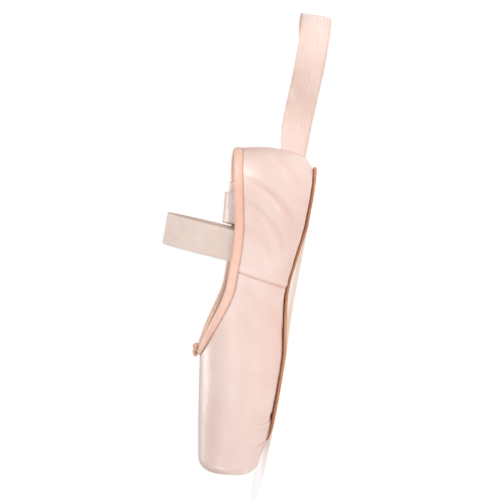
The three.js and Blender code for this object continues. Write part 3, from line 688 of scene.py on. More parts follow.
def upper_parameters():
    """Where each row of the upper starts, at the edge of the opening underneath, and where it ends, at
    the collar's edge, as q of its section. A row with no opening or collar runs to the middle."""
    FURTHEST = 40
    x, turn, drawn, cut = half_rows()
    s = section_at(x)
    stretch = np.where(x == HEEL_CENTRE, heel_reach(turn) / section_at(HEEL_CENTRE)["half"], 1)
    radii = np.linspace(0, FURTHEST, 20 * FURTHEST + 1)
    spots = x[:, None] + np.cos(turn)[:, None] * radii
    allowed = np.interp(spots, OPEN_X, OPEN_HALF, left=0, right=0)
    inside = (np.abs(np.sin(turn))[:, None] * radii <= allowed) & (allowed > 0)
    furthest = radii[inside.shape[1] - 1 - inside[:, ::-1].argmax(1)]
    opening = np.where(inside.any(1) & (x <= OPEN_X[-1]), furthest, 0) / stretch
    past = np.clip((opening - s["flat"]) / (s["half"] - s["flat"]), 0, 1)
    round_corner = 2 - np.arccos(past ** (s["lower"] / 2)) / (np.pi / 2)
    start = np.where(opening <= s["flat"], opening / s["flat"], round_corner)
    side_height = collar_height(np.where(x == HEEL_CENTRE, x + np.cos(turn) * heel_reach(turn), x))
    reach = reach_at(s, side_height) * cut
    end = 2 + np.arccos(np.clip(reach / s["half"], 0, 1) ** (s["upper"] / 2)) / (np.pi / 2)
    end = np.where(cut > 0, end, 3)
    return x, turn, drawn, cut, s, stretch, start, end


def upper_side(columns):
    """Points of the +Y side, rows by columns. The columns lie along each section by length, closer
    together at its foot, where the pleats are."""
    FINE = 360
    x, turn, drawn, cut, s, stretch, start, end = upper_parameters()
    s = {key: value[:, None] for key, value in s.items()}

    def points_at(q):
        reach, height = along_section(s, q)
        return place(x[:, None], turn[:, None], reach * stretch[:, None], height)

    fine = start[:, None] + (end - start)[:, None] * np.linspace(0, 1, FINE)
    steps = np.linalg.norm(np.diff(points_at(fine), axis=1), axis=-1)
    length = np.concatenate([np.zeros((len(x), 1)), np.cumsum(steps, 1)], 1)
    even = np.linspace(0, 1, columns)
    even = 0.7 * even + 0.3 * even ** 2
    q = np.stack([np.interp(even * total[-1], total, row) for total, row in zip(length, fine)])
    q[:, 0], q[:, -1] = start, end
    p = points_at(q)
    p[..., 1] = np.where(q >= TOP_MIDDLE, 0, p[..., 1])
    toe = section_at(LENGTH)
    toe_middle = (toe["bottom"] + toe["top"]) / 2
    platform_middle = place(np.array(LENGTH), np.array(np.pi / 2), np.array(0.0), toe_middle)
    p = platform_middle + (p - platform_middle) * drawn[:, None, None]
    return p, even[None, :] * length[:, -1:], x, turn, drawn, cut


def mirrored(side):
    """A side's array with the other side's after it, so that the rows run from toe to heel to toe."""
    return np.concatenate([side, side[-2::-1]])


def other_side(p):
    """A side's points with the other side's after them."""
    return np.concatenate([p, p[-2::-1] * np.array([1, -1, 1])])


# Creases: the two ends in side view as x, z, x, z, then width and depth in millimetres (a ridge where
# it is negative), and the side it is on: 1, -1, or 0 for both. x and z are shares of LENGTH and of
# SIDE_HEIGHT.
CREASES = [
    (0.10, 1.02, 0.235, 0.16, 5.0, 0.70, 0),
    (0.16, 1.06, 0.33, 0.20, 4.2, 0.55, 0),
    (0.24, 0.98, 0.345, 0.42, 5.5, 0.42, 0),
    (0.02, 0.72, 0.115, 0.20, 6.0, 0.60, 0),
    (0.07, 0.58, 0.21, 0.13, 4.0, -0.35, 0),
    (0.13, 0.80, 0.27, 0.30, 4.5, -0.30, 1),
    (0.19, 0.72, 0.31, 0.12, 3.8, 0.35, -1),
    (0.42, 0.92, 0.53, 0.36, 7.0, 0.26, 0),
    (0.47, 0.96, 0.60, 0.55, 6.0, 0.20, 1),
    (0.44, 0.55, 0.56, 0.13, 6.0, 0.30, 0),
    (0.50, 0.40, 0.64, 0.14, 5.5, -0.20, 0),
    (0.58, 1.02, 0.68, 0.72, 7.0, 0.16, -1),
    (0.60, 0.50, 0.72, 0.17, 8.0, 0.22, 0),
    (0.66, 0.86, 0.80, 0.62, 10.0, 0.14, 1),
    (0.70, 0.62, 0.86, 0.30, 10.0, 0.16, 0),
]
CREASE_STRENGTH = 1.6
# The cloth's slight swells: height, size across and seed
CLOTH_SWELLS = [(0.16, 24, 3), (0.09, 9, 5)]


def crease_depth(p):
    """The creases' depth: for each, a trough across its slightly bowed line with a low ridge beside it,
    fading towards the line's two ends."""
    BOW = 0.10
    total = np.zeros(p.shape[:-1])
    side = np.sign(p[..., 1])
    away = smooth(np.abs(p[..., 1]), 4, 14)
    for x0, z0, x1, z1, width, depth, which in CREASES:
        a = np.array([x0 * LENGTH, z0 * SIDE_HEIGHT])
        b = np.array([x1 * LENGTH, z1 * SIDE_HEIGHT])
        flat, line = p[..., [0, 2]] - a, b - a
        long = np.linalg.norm(line)
        t = (flat @ line) / (line @ line)
        bow = BOW * long * np.sin(np.pi * np.clip(t, 0, 1))
        across = (flat[..., 0] * line[1] - flat[..., 1] * line[0]) / long - bow
        ends = smooth(t, -0.08, 0.25) * (1 - smooth(t, 0.7, 1.08))
        trough = bell(across, 0.5 * width) - 0.45 * bell(across - 0.9 * width, 0.6 * width)
        chosen = 1 if which == 0 else (side == which)
        total = total + chosen * away * depth * ends * trough
    return total


def sole_edge_distance(p):
    """Distance from the sole leaf's edge, and how far along that edge the nearest spot lies from the
    middle of its front end."""
    BATCH = 8000
    x, half = sole_outline(0, 240)
    one, two = (np.stack([x, side * half, bottom_height(x)], -1) for side in (1, -1))
    edge = np.concatenate([one, two[-2:0:-1]])
    step = np.linalg.norm(np.roll(edge, -1, 0) - edge, axis=-1)
    arc = np.concatenate([[0], np.cumsum(step)[:-1]])
    front = arc[len(x) - 1]
    flat = p.reshape(-1, 3)
    near = np.empty(len(flat))
    spot = np.empty(len(flat))
    for first in range(0, len(flat), BATCH):
        batch = slice(first, first + BATCH)
        part = flat[batch]
        gap = np.linalg.norm(part[:, None] - edge[None], axis=-1)
        best = gap.argmin(1)
        line = edge[(best + 1) % len(edge)] - edge[best - 1]
        shift = np.einsum("ij,ij->i", part - edge[best], line) / np.einsum("ij,ij->i", line, line)
        near[batch] = gap[np.arange(len(part)), best]
        spot[batch] = arc[best] - front + np.clip(shift, -0.5, 0.5) * np.linalg.norm(line, axis=-1)
    return near.reshape(p.shape[:-1]), spot.reshape(p.shape[:-1])


def pleat_depth(p):
    """The satin's pleats where it is drawn under the sole: rounded folds with a sharp valley between
    them, uneven in width and length, that fan from the sole's front end and fade up the platform. Behind
    them, only short notches bite into the satin beside the leaf. Also returns the distance from the
    leaf's edge."""
    PITCH, PLEAT_DEPTH, NOTCH_DEPTH = 5.4, 1.35, 0.55
    near, spot = sole_edge_distance(p)
    around = np.abs(spot)
    phase = around / PITCH + 0.34 * np.sin(spot * 0.37 + 0.6) + 0.18 * np.sin(spot * 0.71)
    valley = np.abs((phase % 1) - 0.5) * 2
    number = np.floor(phase) + 40 * (spot > 0)
    own = 0.5 + 0.5 * np.sin(number * 2.4 + 0.7)
    front = 1 - smooth(around, 24, 46)
    fade = (1 - smooth(near, 1, 12 + 15 * own)) * smooth(near, -1, 0.5)
    pleats = PLEAT_DEPTH * front * (0.6 + 0.4 * own) * fade * (bell(valley, 0.36) - 0.34)
    behind = smooth(around, 20, 28) * (1 - smooth(around, 52, 66))
    notch = bell(valley, 0.3) * (1 - smooth(near, 1.0, 4.5)) * smooth(near, -0.5, 0.5)
    return pleats, NOTCH_DEPTH * behind * notch, near


def side_seam(x, p):
    """The side seam, a low folded ridge with a fine trench on its toe side. Returns its lift and where
    the trench is."""
    away = smooth(p[..., 2], BOTTOM + 1, BOTTOM + 9)
    across = x - SIDE_SEAM_X
    ridge = np.clip(1 - (across / (0.8 * SEAM_WIDTH)) ** 2, 0, 1) ** 1.2
    trench = bell(across - 0.95 * SEAM_WIDTH, 0.55)
    return away * (SEAM_HEIGHT * ridge - 0.5 * trench), away * trench


def back_seam(turn, p):
    """The back seam, a low ridge up the middle of the heel between two fine trenches. Returns its lift
    and where the trenches are."""
    HEEL_RADIUS = 27
    around = np.abs(turn - np.pi)[:, None] * HEEL_RADIUS
    ridge = np.clip(1 - (around / 1.5) ** 2, 0, 1) * smooth(p[..., 2], BOTTOM + 1, BOTTOM + 9)
    trench = bell(around - 2.1, 0.5)
    return 0.7 * ridge - 0.4 * trench, trench


def upper_normals(p, x, drawn):
    """The last's own normals, level across its middle line and square to the platform on it."""
    n = normals_of(p)
    middle = (np.abs(p[..., 1]) < 1e-6) & (x[:, None] > HEEL_CENTRE)
    n[..., 1] = np.where(middle, 0, n[..., 1])
    platform = np.array([math.cos(TOE_SLANT), 0, -math.sin(TOE_SLANT)])
    return unit(np.where((drawn < 0.98)[:, None, None], platform, n))


def make_upper():
    """The upper: the last's own surface between the opening underneath and the collar, with creases,
    pleats, seams and slight clouding of the cloth moved along its normals, and the lining inside it."""
    columns, inner_columns = 104, 26
    p_side, arc_side, *rest = upper_side(columns)
    p = other_side(p_side)
    arc, x, turn, drawn, cut = (mirrored(a) for a in (arc_side, *rest))
    n = upper_normals(p, x, drawn)

    pleats, notches, near = pleat_depth(p)
    creases = crease_depth(p)
    seam, trench = side_seam(x[:, None], p)
    back, back_trench = back_seam(turn, p)
    cloth = sum(height * value_noise(p, size, seed) for height, size, seed in CLOTH_SWELLS)
    pull = 0.35 * bell(near, 2.6)
    below_collar = np.where((cut < OPEN_FROM)[:, None], 1, smooth(arc[:, -1:] - arc, 0, 3))
    calm = below_collar * smooth(arc, 0, 2)
    lift = (cloth - CREASE_STRENGTH * creases) * calm - pleats - notches - pull + seam + back
    outer = p + n * lift[..., None]
    outer[..., 2] = np.maximum(outer[..., 2], BOTTOM)
    # Painted shade: how much of the satin's deeper colour is laid in the pleats, notches, creases, seam
    # trenches and in a thin dark line along the sole leaf's edge.
    tint_and_painted_shade = np.clip(0.75 * np.clip(pleats, 0, 1) + 1.6 * notches + 0.25 * np.clip(creases, 0, 1)
                   + 0.8 * trench + 0.8 * back_trench + 0.55 * bell(near, 1.3), 0, 1)

    picked = np.linspace(0, columns - 1, inner_columns).round().astype(int)
    inner = p[:, picked] - n[:, picked] * wall_at(p[:, picked, 0])[..., None]
    rows, c, ic = len(p), columns, inner_columns
    base = rows * c
    i = np.arange(rows - 1)
    top = i[(cut[:-1] > OPEN_FROM) | (cut[1:] > OPEN_FROM)]
    collar_rim = np.stack([top * c + c - 1, (top + 1) * c + c - 1,
                           base + (top + 1) * ic + ic - 1, base + top * ic + ic - 1], -1)
    off_middle = np.abs(p[:, 0, 1]) > 1e-6
    low = i[off_middle[:-1] | off_middle[1:] | (x[:-1] == HEEL_CENTRE)]
    sole_rim = np.stack([(low + 1) * c, low * c, base + low * ic, base + (low + 1) * ic], -1)
    outer_faces = quads(rows, c)
    faces = np.concatenate([outer_faces, quads(rows, ic, base, flip=True), collar_rim, sole_rim])
    zones = np.arange(len(faces)) >= len(outer_faces)
    along = lengths_along(p[:, columns // 2])[:, None]
    uv = np.concatenate([grid_uv(a, along).reshape(-1, 2) for a in (arc, arc[:, picked])])
    return mesh_piece(
        "upper_satin_and_lining", np.concatenate([outer.reshape(-1, 3), inner.reshape(-1, 3)]), faces,
        [SATIN, LINING], zones, uv, {"tint_and_painted_shade": np.concatenate([tint_and_painted_shade.ravel(), np.zeros(rows * ic)])}, merge=0.02)


upper = make_upper()
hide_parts("upper")
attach(upper, "root")

# ---------------------------------------------------------------- the sole leaf


def score_pattern(x, y):
    """The forefoot's scored tread: short curved dashes in a basket rhythm, one across and one along in
    turn and none touching the next, in rows that step by half a pitch. Returns 0 to 1, 1 in the middle
    of a cut."""
    PITCH, CUT_WIDTH, SLANT = 7.6, 0.52, 0.35
    quarter = PITCH / 4
    u = (x - TREAD_START) / PITCH
    v = y / PITCH + 0.5 * (np.floor(u) % 2)
    du, dv = (u - np.floor(u) - 0.5) * PITCH, (v - np.floor(v) - 0.5) * PITCH
    bend = np.where((np.floor(u) + np.floor(v)) % 2 > 0, 1, -1)
    slant = SLANT * bend
    across = du - quarter - slant * dv - bend * 0.7 * (1 - (dv / 2.5) ** 2)
    dash_across = bell(across, CUT_WIDTH) * (1 - smooth(np.abs(dv), 2.2, 2.8))
    dv = dv - 1.2 * bend
    du = du + quarter
    along = dv + slant * du - bend * 0.6 * (1 - (du / quarter) ** 2)
    dash_along = bell(along, CUT_WIDTH) * (1 - smooth(np.abs(du), 1.2, 1.75))
    return np.maximum(dash_across, dash_along)


def make_outsole():
    """The sole leaf: its plan outline swept through a thickness, the edge rounded at its lower corner
    and skived a little above, the forefoot scored, and the whole laid on the bottom's own line."""
    columns, END_ROWS, HEEL_ROWS, TREAD_ROWS = 100, 30, 86, 225
    HEEL_END, TOE_END = 8, 6
    CORNER, CORNER_WIDTH, SKIVE, SKIVE_WIDTH, TREAD_DEPTH = 0.7, 0.8, 0.35, 0.9, 0.45
    rounded = 1 - np.cos(np.pi / 2 * np.linspace(0, 1, END_ROWS))
    heel, toe = SOLE_START, SOLE_START + SOLE_LENGTH
    x = np.concatenate([heel + HEEL_END * rounded[:-1],
                        np.linspace(heel + HEEL_END, TREAD_START, HEEL_ROWS)[:-1],
                        np.linspace(TREAD_START, toe - TOE_END, TREAD_ROWS)[:-1],
                        toe - TOE_END * rounded[::-1]])
    half = np.interp(x, *sole_outline(0, 600))
    half[0] = half[-1] = 0
    w = np.linspace(-1, 1, columns)
    y = half[:, None] * w
    xx = x[:, None] + 0 * y
    margin = np.minimum(half[:, None] * (1 - np.abs(w)), np.minimum(xx - heel, toe - xx))
    corner = CORNER * (1 - np.clip(margin / CORNER_WIDTH, 0, 1)) ** 2
    skive = SKIVE * (1 - np.clip(margin / SKIVE_WIDTH, 0, 1)) ** 2
    tread = smooth(xx, TREAD_START, TREAD_START + 2) * smooth(margin, 3.0, 4.2) * score_pattern(xx, y)
    base = bottom_height(xx) - BOTTOM
    points, faces = slab(xx, y, base + corner + TREAD_DEPTH * tread, base + SOLE_THICKNESS - skive)
    edge = 1 - smooth(margin, 0.1, 1.1)
    return mesh_piece("sole_leaf", points, np.concatenate(faces), [LEATHER],
                      attributes={"score": np.stack([tread, 0 * tread]), "edge": np.stack([edge, edge])},
                      merge=SAME_SPOT)


outsole = make_outsole()
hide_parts("outsole")
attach(outsole, "root")

# ---------------------------------------------------------------- the insole


def make_insole():
    """The insole under its sock: a board that fills the floor of the shoe, rolled at its edge, pressed
    a little at heel and ball, with a fine stitched channel round it."""
    rows, columns = 230, 60
    start, end = 7.3, LENGTH - INSOLE_TOE_GAP - GAP
    HEEL_SQUARE, TOE_SQUARE, TOE_END = 2.1, 2.4, 9
    ROLL, HEEL_PRESS, BALL_PRESS, CHANNEL = 0.9, 0.35, 0.3, 0.25
    t = np.linspace(0, 1, rows)
    x = start + (end - start) * (1 - np.cos(np.pi * (0.5 * t + 0.25 * (1 - np.cos(np.pi * t))))) / 2
    low = bottom_height(x) + BOX_WALL + GAP
    half = reach_at(section_at(np.maximum(x, HEEL_CENTRE)), low + 1) - wall_at(x) * 1.06 - 1.0
    back = np.clip((HEEL_CENTRE - x) / (HEEL_CENTRE - start), 0, 1)
    front = np.clip((x - end + TOE_END) / TOE_END, 0, 1)
    half = half * (1 - back ** HEEL_SQUARE) ** (1 / HEEL_SQUARE) * (1 - 0.55 * front ** TOE_SQUARE)
    half[0] = 0
    w = np.linspace(-1, 1, columns)
    y = half[:, None] * w
    xx = x[:, None] + 0 * y
    margin = np.minimum(half[:, None] * (1 - np.abs(w)), np.minimum(xx - start, end - xx))
    roll = (1 - np.clip(margin / 1.8, 0, 1)) ** 2
    heel_press = np.exp(-(((xx - 34) / 19) ** 2) - (y / 15) ** 2)
    ball_press = np.exp(-(((xx - 165) / 24) ** 2) - (y / 22) ** 2)
    channel = bell(margin - 4.2, 0.5)
    top = low[:, None] + INSOLE_THICKNESS - ROLL * roll
    top = top - HEEL_PRESS * heel_press - BALL_PRESS * ball_press - CHANNEL * channel
    top = top + 0.1 * value_noise(np.stack([xx, y, 0 * y], -1), 15, 9)
    points, faces = slab(xx, y, low[:, None] + 0 * y, top)
    last, n = (rows - 1) * columns + np.arange(columns - 1), rows * columns
    faces.append(np.stack([last, n + last, n + last + 1, last + 1], -1)[:, ::-1])
    pressed = 0.35 * heel_press + 0.25 * ball_press + 0.5 * channel
    return mesh_piece("insole_sock", points, np.concatenate(faces), [SOCK],
                      attributes={"tint_and_painted_shade": np.stack([0 * pressed, pressed])}, merge=SAME_SPOT)


insole = make_insole()
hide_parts("insole")
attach(insole, "root")

# ---------------------------------------------------------------- the collar's binding


def collar_ring(lowered=0.0):
    """The collar's edge on the last as a closed ring, from the back of the heel down the +Y side to the
    throat and back on the other side: heights over heel and side, a quarter ellipse in plan at the
    throat."""
    start = THROAT_X + lowered - THROAT_CURVE
    turn = np.linspace(np.pi, np.pi / 2, 60)[:-1]
    side = np.linspace(HEEL_CENTRE, start, 80)[:-1]
    share = np.linspace(0, np.pi / 2, 90)
    height = collar_height(HEEL_CENTRE + np.cos(turn) * heel_reach(turn)) - lowered
    s = section_at(HEEL_CENTRE)
    heel = place(HEEL_CENTRE + 0 * turn, turn, reach_at(s, height) * heel_reach(turn) / s["half"], height)
    height = collar_height(side) - lowered
    sides = place(side, np.pi / 2 + 0 * side, reach_at(section_at(side), height), height)
    x = start + THROAT_CURVE * np.sin(share)
    s = section_at(x)
    reach = reach_at(s, collar_height(x) - lowered) * np.cos(share)
    reach[-1] = 0
    rise = (1 - np.clip(reach / s["half"], 0, 1) ** s["upper"]) ** (1 / s["upper"])
    front = place(x, np.pi / 2 + 0 * x, reach, s["widest"] + (s["top"] - s["widest"]) * rise)
    half = np.concatenate([heel, sides, front])
    return np.concatenate([half, half[-2:0:-1] * np.array([1, -1, 1])])


def even_rings(rings, count):
    """Closed rings resampled to even steps of the first one, with the steps' places and its length."""
    closed = [np.concatenate([ring, ring[:1]]) for ring in rings]
    length = lengths_along(closed[0])
    at = np.linspace(0, length[-1], count + 1)[:-1]
    even = [np.stack([np.interp(at, length, axis) for axis in ring.T], -1) for ring in closed]
    return even, at, length[-1]


def collar_frame(count):
    """Even points on the collar's edge, the outward, upward and forward directions there, lengths along
    it and its whole length."""
    LOWERED = 3.0
    inside = np.array([0.36 * LENGTH, 0, 15])
    (edge, lower), at, total = even_rings([collar_ring(), collar_ring(LOWERED)], count)
    for _ in range(3):
        edge, lower = ((np.roll(ring, 1, 0) + 2 * ring + np.roll(ring, -1, 0)) / 4
                       for ring in (edge, lower))
    tangent = unit(np.roll(edge, -1, 0) - np.roll(edge, 1, 0))
    up = square_to(edge - lower, tangent)
    out = np.cross(up, tangent)
    out = out * np.sign(np.sum(out * (edge - inside), -1, keepdims=True))
    return edge, out, up, tangent, at, total


# The casing's section: millimetres out from the collar's edge and up from it, round its outer face, over
# its top, down inside the shoe and back under it
BINDING_PROFILE = np.array([
    (0.34, -4.9), (0.75, -5.05), (1.05, -4.7), (1.22, -3.9), (1.42, -2.9), (1.58, -1.8), (1.62, -0.7),
    (1.42, 0.3), (0.95, 1.05), (0.2, 1.45), (-0.8, 1.62), (-1.8, 1.5), (-2.6, 1.1), (-3.15, 0.4),
    (-3.4, -0.6), (-3.42, -1.9), (-3.3, -3.2), (-3.15, -4.4), (-2.85, -4.95), (-2.45, -4.9),
    (-2.35, -2.4), (-2.3, -0.3), (-1.6, 0.35), (-0.4, 0.35), (0.28, -0.2), (0.32, -2.4),
])


def make_binding():
    """The drawstring casing: a U profile carried round the collar's edge, fuller at its top where the
    cord runs, with small uneven puckers across it and a sewn dent near its lower edge."""
    count, PUCKER_PITCH, PUCKER_DEPTH, SEWN_DENT = 620, 2.6, 0.055, 0.12
    edge, out, up, _, at, total = collar_frame(count)
    a, b = BINDING_PROFILE.T
    turn = 2 * np.pi * at / total
    uneven_steps = 5.3 * np.sin(5 * turn) + 3.1 * np.sin(13 * turn + 1) + 1.3 * np.sin(37 * turn)
    pucker = np.sin(round(total / PUCKER_PITCH) * turn + uneven_steps)
    pucker = (pucker * (0.5 + 0.5 * np.sin(7 * turn + 1) * np.sin(19 * turn + 2)))[:, None]
    outer_face = (a > 0.9) | (b > 0.9)
    swell = outer_face * PUCKER_DEPTH * pucker
    sewn = np.where((a > 0.9) & (b < -3.5), SEWN_DENT, 0)
    wider = 1 + 0.12 * smooth(edge[:, 0], THROAT_X - 16, THROAT_X)[:, None]
    outward = a + swell - sewn
    upward = np.where(b > 0, b + swell, b * wider)
    points = edge[:, None] + out[:, None] * outward[..., None] + up[:, None] * upward[..., None]
    # Painted shade: the casing's deeper colour in the puckers' dents and a darker line along its lower edges,
    # where it meets the satin.
    tint_and_painted_shade = np.clip(outer_face * (0.04 - 0.10 * pucker), 0, 0.6) + np.where(b < -4.2, 0.35, 0)
    faces = quads(count, len(BINDING_PROFILE), wrap_rows=True, wrap_columns=True)
    uv = grid_uv(at[:, None], lengths_along(BINDING_PROFILE))
    piece = mesh_piece("collar_casing", points, faces, [CASING], uv=uv, attributes={"tint_and_painted_shade": tint_and_painted_shade})
    outward_faces(piece)
    return piece


binding = make_binding()
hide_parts("collar_binding")
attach(binding, "root")


def make_stitches():
    """The casing's stitches: short threads along its lower edge, one pointed bead of a few faces each."""
    count, rings, sides = 128, 7, 6
    HALF_LENGTH, THICKNESS, OUT, DOWN = 0.85, 0.19, 1.13, 4.15
    edge, out, up, tangent, _, _ = collar_frame(count)
    length = np.linspace(-1, 1, rings)
    turn = np.linspace(0, 2 * np.pi, sides, endpoint=False)
    thick = (THICKNESS * np.sqrt(np.maximum(1 - length ** 2, 0)))[:, None]
    centre = edge + out * OUT - up * DOWN
    points = (centre[:, None, None] + tangent[:, None, None] * (HALF_LENGTH * length)[:, None, None]
              + out[:, None, None] * (thick * np.cos(turn))[..., None]
              + up[:, None, None] * (thick * np.sin(turn))[..., None])
    beads = rings * sides * np.arange(count)[:, None, None]
    faces = (beads + quads(rings, sides, wrap_columns=True)).reshape(-1, 4)
    piece = mesh_piece("casing_stitches", points, faces, [THREAD], merge=SAME_SPOT)
    outward_faces(piece)
    return piece


stitches = make_stitches()
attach(stitches, "root")

# ---------------------------------------------------------------- the drawstring's knot


def tube_along(path, radius, sides, closed):
    """A round tube along a path: a circle in the plane square to the path's tangent. An open path's
    radius shrinks to nothing over its last few points, as a quarter circle."""
    ROUNDED = 4
    STEADY = np.array([0.21, 0.13, 0.97])
    tangent = unit(np.roll(path, -1, 0) - np.roll(path, 1, 0) if closed else np.gradient(path, axis=0))
    side = unit(np.cross(tangent, STEADY))[:, None]
    other = np.cross(tangent, side[:, 0])[:, None]
    turn = np.linspace(0, 2 * np.pi, sides, endpoint=False)[:, None]
    i = np.arange(len(path))
    into = 1 if closed else np.clip(np.minimum(i, i[::-1]) / ROUNDED, 0, 1)[:, None, None]
    wide = radius * np.sqrt(1 - (1 - into) ** 2)
    return path[:, None] + wide * (np.cos(turn) * side + np.sin(turn) * other)


def cord_mesh(name, paths, radius):
    """Cord pieces along several paths, each (points, closed)."""
    sides = 12
    points, faces, uvs, first = [], [], [], 0
    for path, closed in paths:
        points.append(tube_along(path, radius, sides, closed).reshape(-1, 3))
        faces.append(quads(len(path), sides, first, wrap_rows=closed, wrap_columns=True))
        uvs.append(grid_uv(lengths_along(path)[:, None], np.linspace(0, 6.6, sides)).reshape(-1, 2))
        first += len(path) * sides
    return mesh_piece(name, np.concatenate(points), np.concatenate(faces), [CORD],
                      uv=np.concatenate(uvs), merge=SAME_SPOT)


def make_knot():
    """The drawstring's knot: a cord along a trefoil knot's line, pressed flat on the casing, and its two
    ends, which run back to the casing beside it and are tucked down there."""
    CORD_RADIUS, PRESSED, BACK = 1.0, 0.35, 0.2
    lo, hi = (np.array(corner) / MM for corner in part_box("drawstring_knot"))
    size = hi - lo
    centre = (lo + hi) / 2 + np.array([MIDDLE - BACK, 0, -PRESSED])
    t = np.linspace(0, 2 * np.pi, 150, endpoint=False)
    knot = np.stack([np.sin(t) + 2 * np.sin(2 * t), np.cos(t) - 2 * np.cos(2 * t), -np.sin(3 * t)], -1)
    knot = knot / np.array([3, 3, 1]) * (size / 2 - np.array([CORD_RADIUS, CORD_RADIUS, 1.15]))
    slope = math.atan2(float(top_height(THROAT_X) - top_height(THROAT_X + KNOT_LENGTH)), KNOT_LENGTH)
    lie = np.array([[math.cos(slope), 0, -math.sin(slope)], [0, 1, 0],
                    [math.sin(slope), 0, math.cos(slope)]])
    share = np.linspace(0, 1, 24)
    tails = [np.stack([-1.0 - 3.2 * share, side * (1.0 + 3.6 * share), -0.4 - 1.1 * share ** 2], -1)
             for side in (-1, 1)]
    paths = [(knot @ lie + centre, True)] + [(tail @ lie + centre, False) for tail in tails]
    piece = cord_mesh("drawstring_tucked_knot", paths, CORD_RADIUS)
    outward_faces(piece)
    return piece


knot = make_knot()
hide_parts("drawstring_knot")
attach(knot, "root")

# ---------------------------------------------------------------- the elastic


def make_elastic():
    """The elastic: a flat knitted band that rises inside one quarter, arches over and goes down inside
    the other, with low ribs along it, rounded edges and a slight wave."""
    columns, ARCH_SQUARENESS, RIBS, RIB_HEIGHT, EDGE_WAVE = 45, 2.2, 9, 0.035, 0.35
    inside = np.linspace(ELASTIC_FOOT, SIDE_HEIGHT, 36)[:-1]
    turn = np.pi / 2 * np.linspace(0, 1, 95)
    rise = np.sin(turn) ** (2 / ARCH_SQUARENESS)
    share = np.maximum(np.cos(turn), 0) ** (2 / ARCH_SQUARENESS)
    share[-1] = 0
    height = np.concatenate([inside, SIDE_HEIGHT + (ELASTIC_TOP - SIDE_HEIGHT) * rise])
    share = np.concatenate([np.ones(len(inside)), share])
    height = np.concatenate([height, height[-2::-1]])[:, None]
    share = np.concatenate([share, -share[-2::-1]])[:, None]
    w = np.linspace(-1, 1, columns)
    x = ELASTIC_X + w * ELASTIC_WIDTH / 2
    within = np.minimum(height, SIDE_HEIGHT) + 0 * w
    clear = smooth(within, SIDE_HEIGHT - 3 * BINDING_WIDTH, SIDE_HEIGHT - 1.5 * BINDING_WIDTH)
    depth = WALL + 2 * GAP + ELASTIC_THICKNESS / 2 + clear * (BINDING_THICKNESS + 1.5 * GAP)
    reach = reach_at({key: value[None] for key, value in section_at(x).items()}, within) - 1.02 * depth
    leant = ELASTIC_LEAN * (height - ELASTIC_FOOT) / (ELASTIC_TOP - ELASTIC_FOOT)
    centre = np.stack([x - leant, share * reach, height + 0 * within], -1)
    ease(centre, 2)
    n = normals_of(centre)
    n = n * np.sign(np.sum(n * (centre - np.array([ELASTIC_X, 0, 40])), -1, keepdims=True))
    free = smooth(height, SIDE_HEIGHT + 4, SIDE_HEIGHT + 22)
    wave = EDGE_WAVE * free * np.abs(w) ** 3 * np.sin(np.linspace(0, 26, len(height)))[:, None]
    ribs = RIB_HEIGHT * np.cos(w * np.pi * RIBS)
    thick = 0.46 * np.sqrt(np.maximum(1 - np.abs(w) ** 14, 0.0)) + 0.02 + ribs
    points, faces = closed_band(centre + n * (thick + wave)[..., None],
                                centre - n * (thick - wave)[..., None])
    uv = grid_uv(w * ELASTIC_WIDTH / 2, lengths_along(centre[:, columns // 2])[:, None])
    piece = mesh_piece("instep_elastic_band", points, faces, [ELASTIC], uv=both_ways(uv, uv))
    outward_faces(piece)
    return piece


elastic = make_elastic()
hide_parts("instep_elastic")
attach(elastic, "root")

# ---------------------------------------------------------------- the ribbons

# x, y, z and the turn of the ribbon's width, in degrees
RIGHT_ROUTE = [
    (44, -24.4, 22, 0), (43, -24.4, 30, 0), (42, -23.6, 38, 0), (41, -21.6, 45, 0), (40.6, -20.3, 50, 0),
    (40.3, -19.9, 53.4, 2), (40.1, -20.9, 55.4, 7), (40, -23.6, 56.2, 10), (39.8, -26.3, 55.3, 7),
    (39.5, -27.6, 53.2, 2), (38.8, -28.4, 49, 0), (37, -29.4, 38, 0), (34.5, -30.2, 24, 0),
    (32.5, -31.4, 12, 0), (31, -34, 4.5, 0), (30, -39, 1.2, 0), (27, -49, 0.8, 0), (22, -61, 3.4, 14),
    (13, -72, 8, 40), (0, -80, 10.9, 70), (-16, -83, 11.5, 86), (-33, -79, 11.6, 92),
    (-49, -70, 11.6, 95), (-66, -63, 11.6, 90), (-84, -64, 11.6, 84), (-98, -74, 11.6, 88),
    (-103, -90, 11.5, 95), (-96, -106, 10.9, 106), (-82, -117, 8.6, 134), (-65, -124, 4.2, 160),
    (-47, -128, 0.9, 178), (-28, -131, 0.7, 180), (-10, -133, 0.7, 180),
]
LEFT_ROUTE = [
    (44, 24.4, 22, 0), (44, 24.4, 30, 0), (44, 23.6, 38, 0), (44.5, 21.4, 45, 0), (45, 18, 50, 4),
    (45.5, 11, 52.6, 8), (46, -1, 53.4, 10), (47, -12, 55, 10), (47.5, -18, 56.9, 10),
    (47.8, -23.6, 57.9, 10), (48, -27.6, 57, 8), (48.2, -29.6, 53.6, 2), (49, -30.2, 49, 0),
    (51, -31, 38, 0), (53, -31.8, 25, 0), (55, -32.6, 13, 0), (56.5, -35, 5.4, 0), (58, -41, 2.2, 0),
    (61, -52, 1, 0), (67, -63, 3.4, -14), (77, -73, 8.2, -42), (91, -79, 11, -72), (108, -80, 11.6, -88),
    (125, -75, 11.6, -92), (142, -68, 11.6, -92), (159, -64, 11.6, -88), (176, -67, 11.4, -80),
    (190, -76, 9.2, -52), (202, -88, 4.6, -20), (212, -102, 1, -2), (221, -118, 0.7, 0),
    (229, -134, 0.7, 0),
]


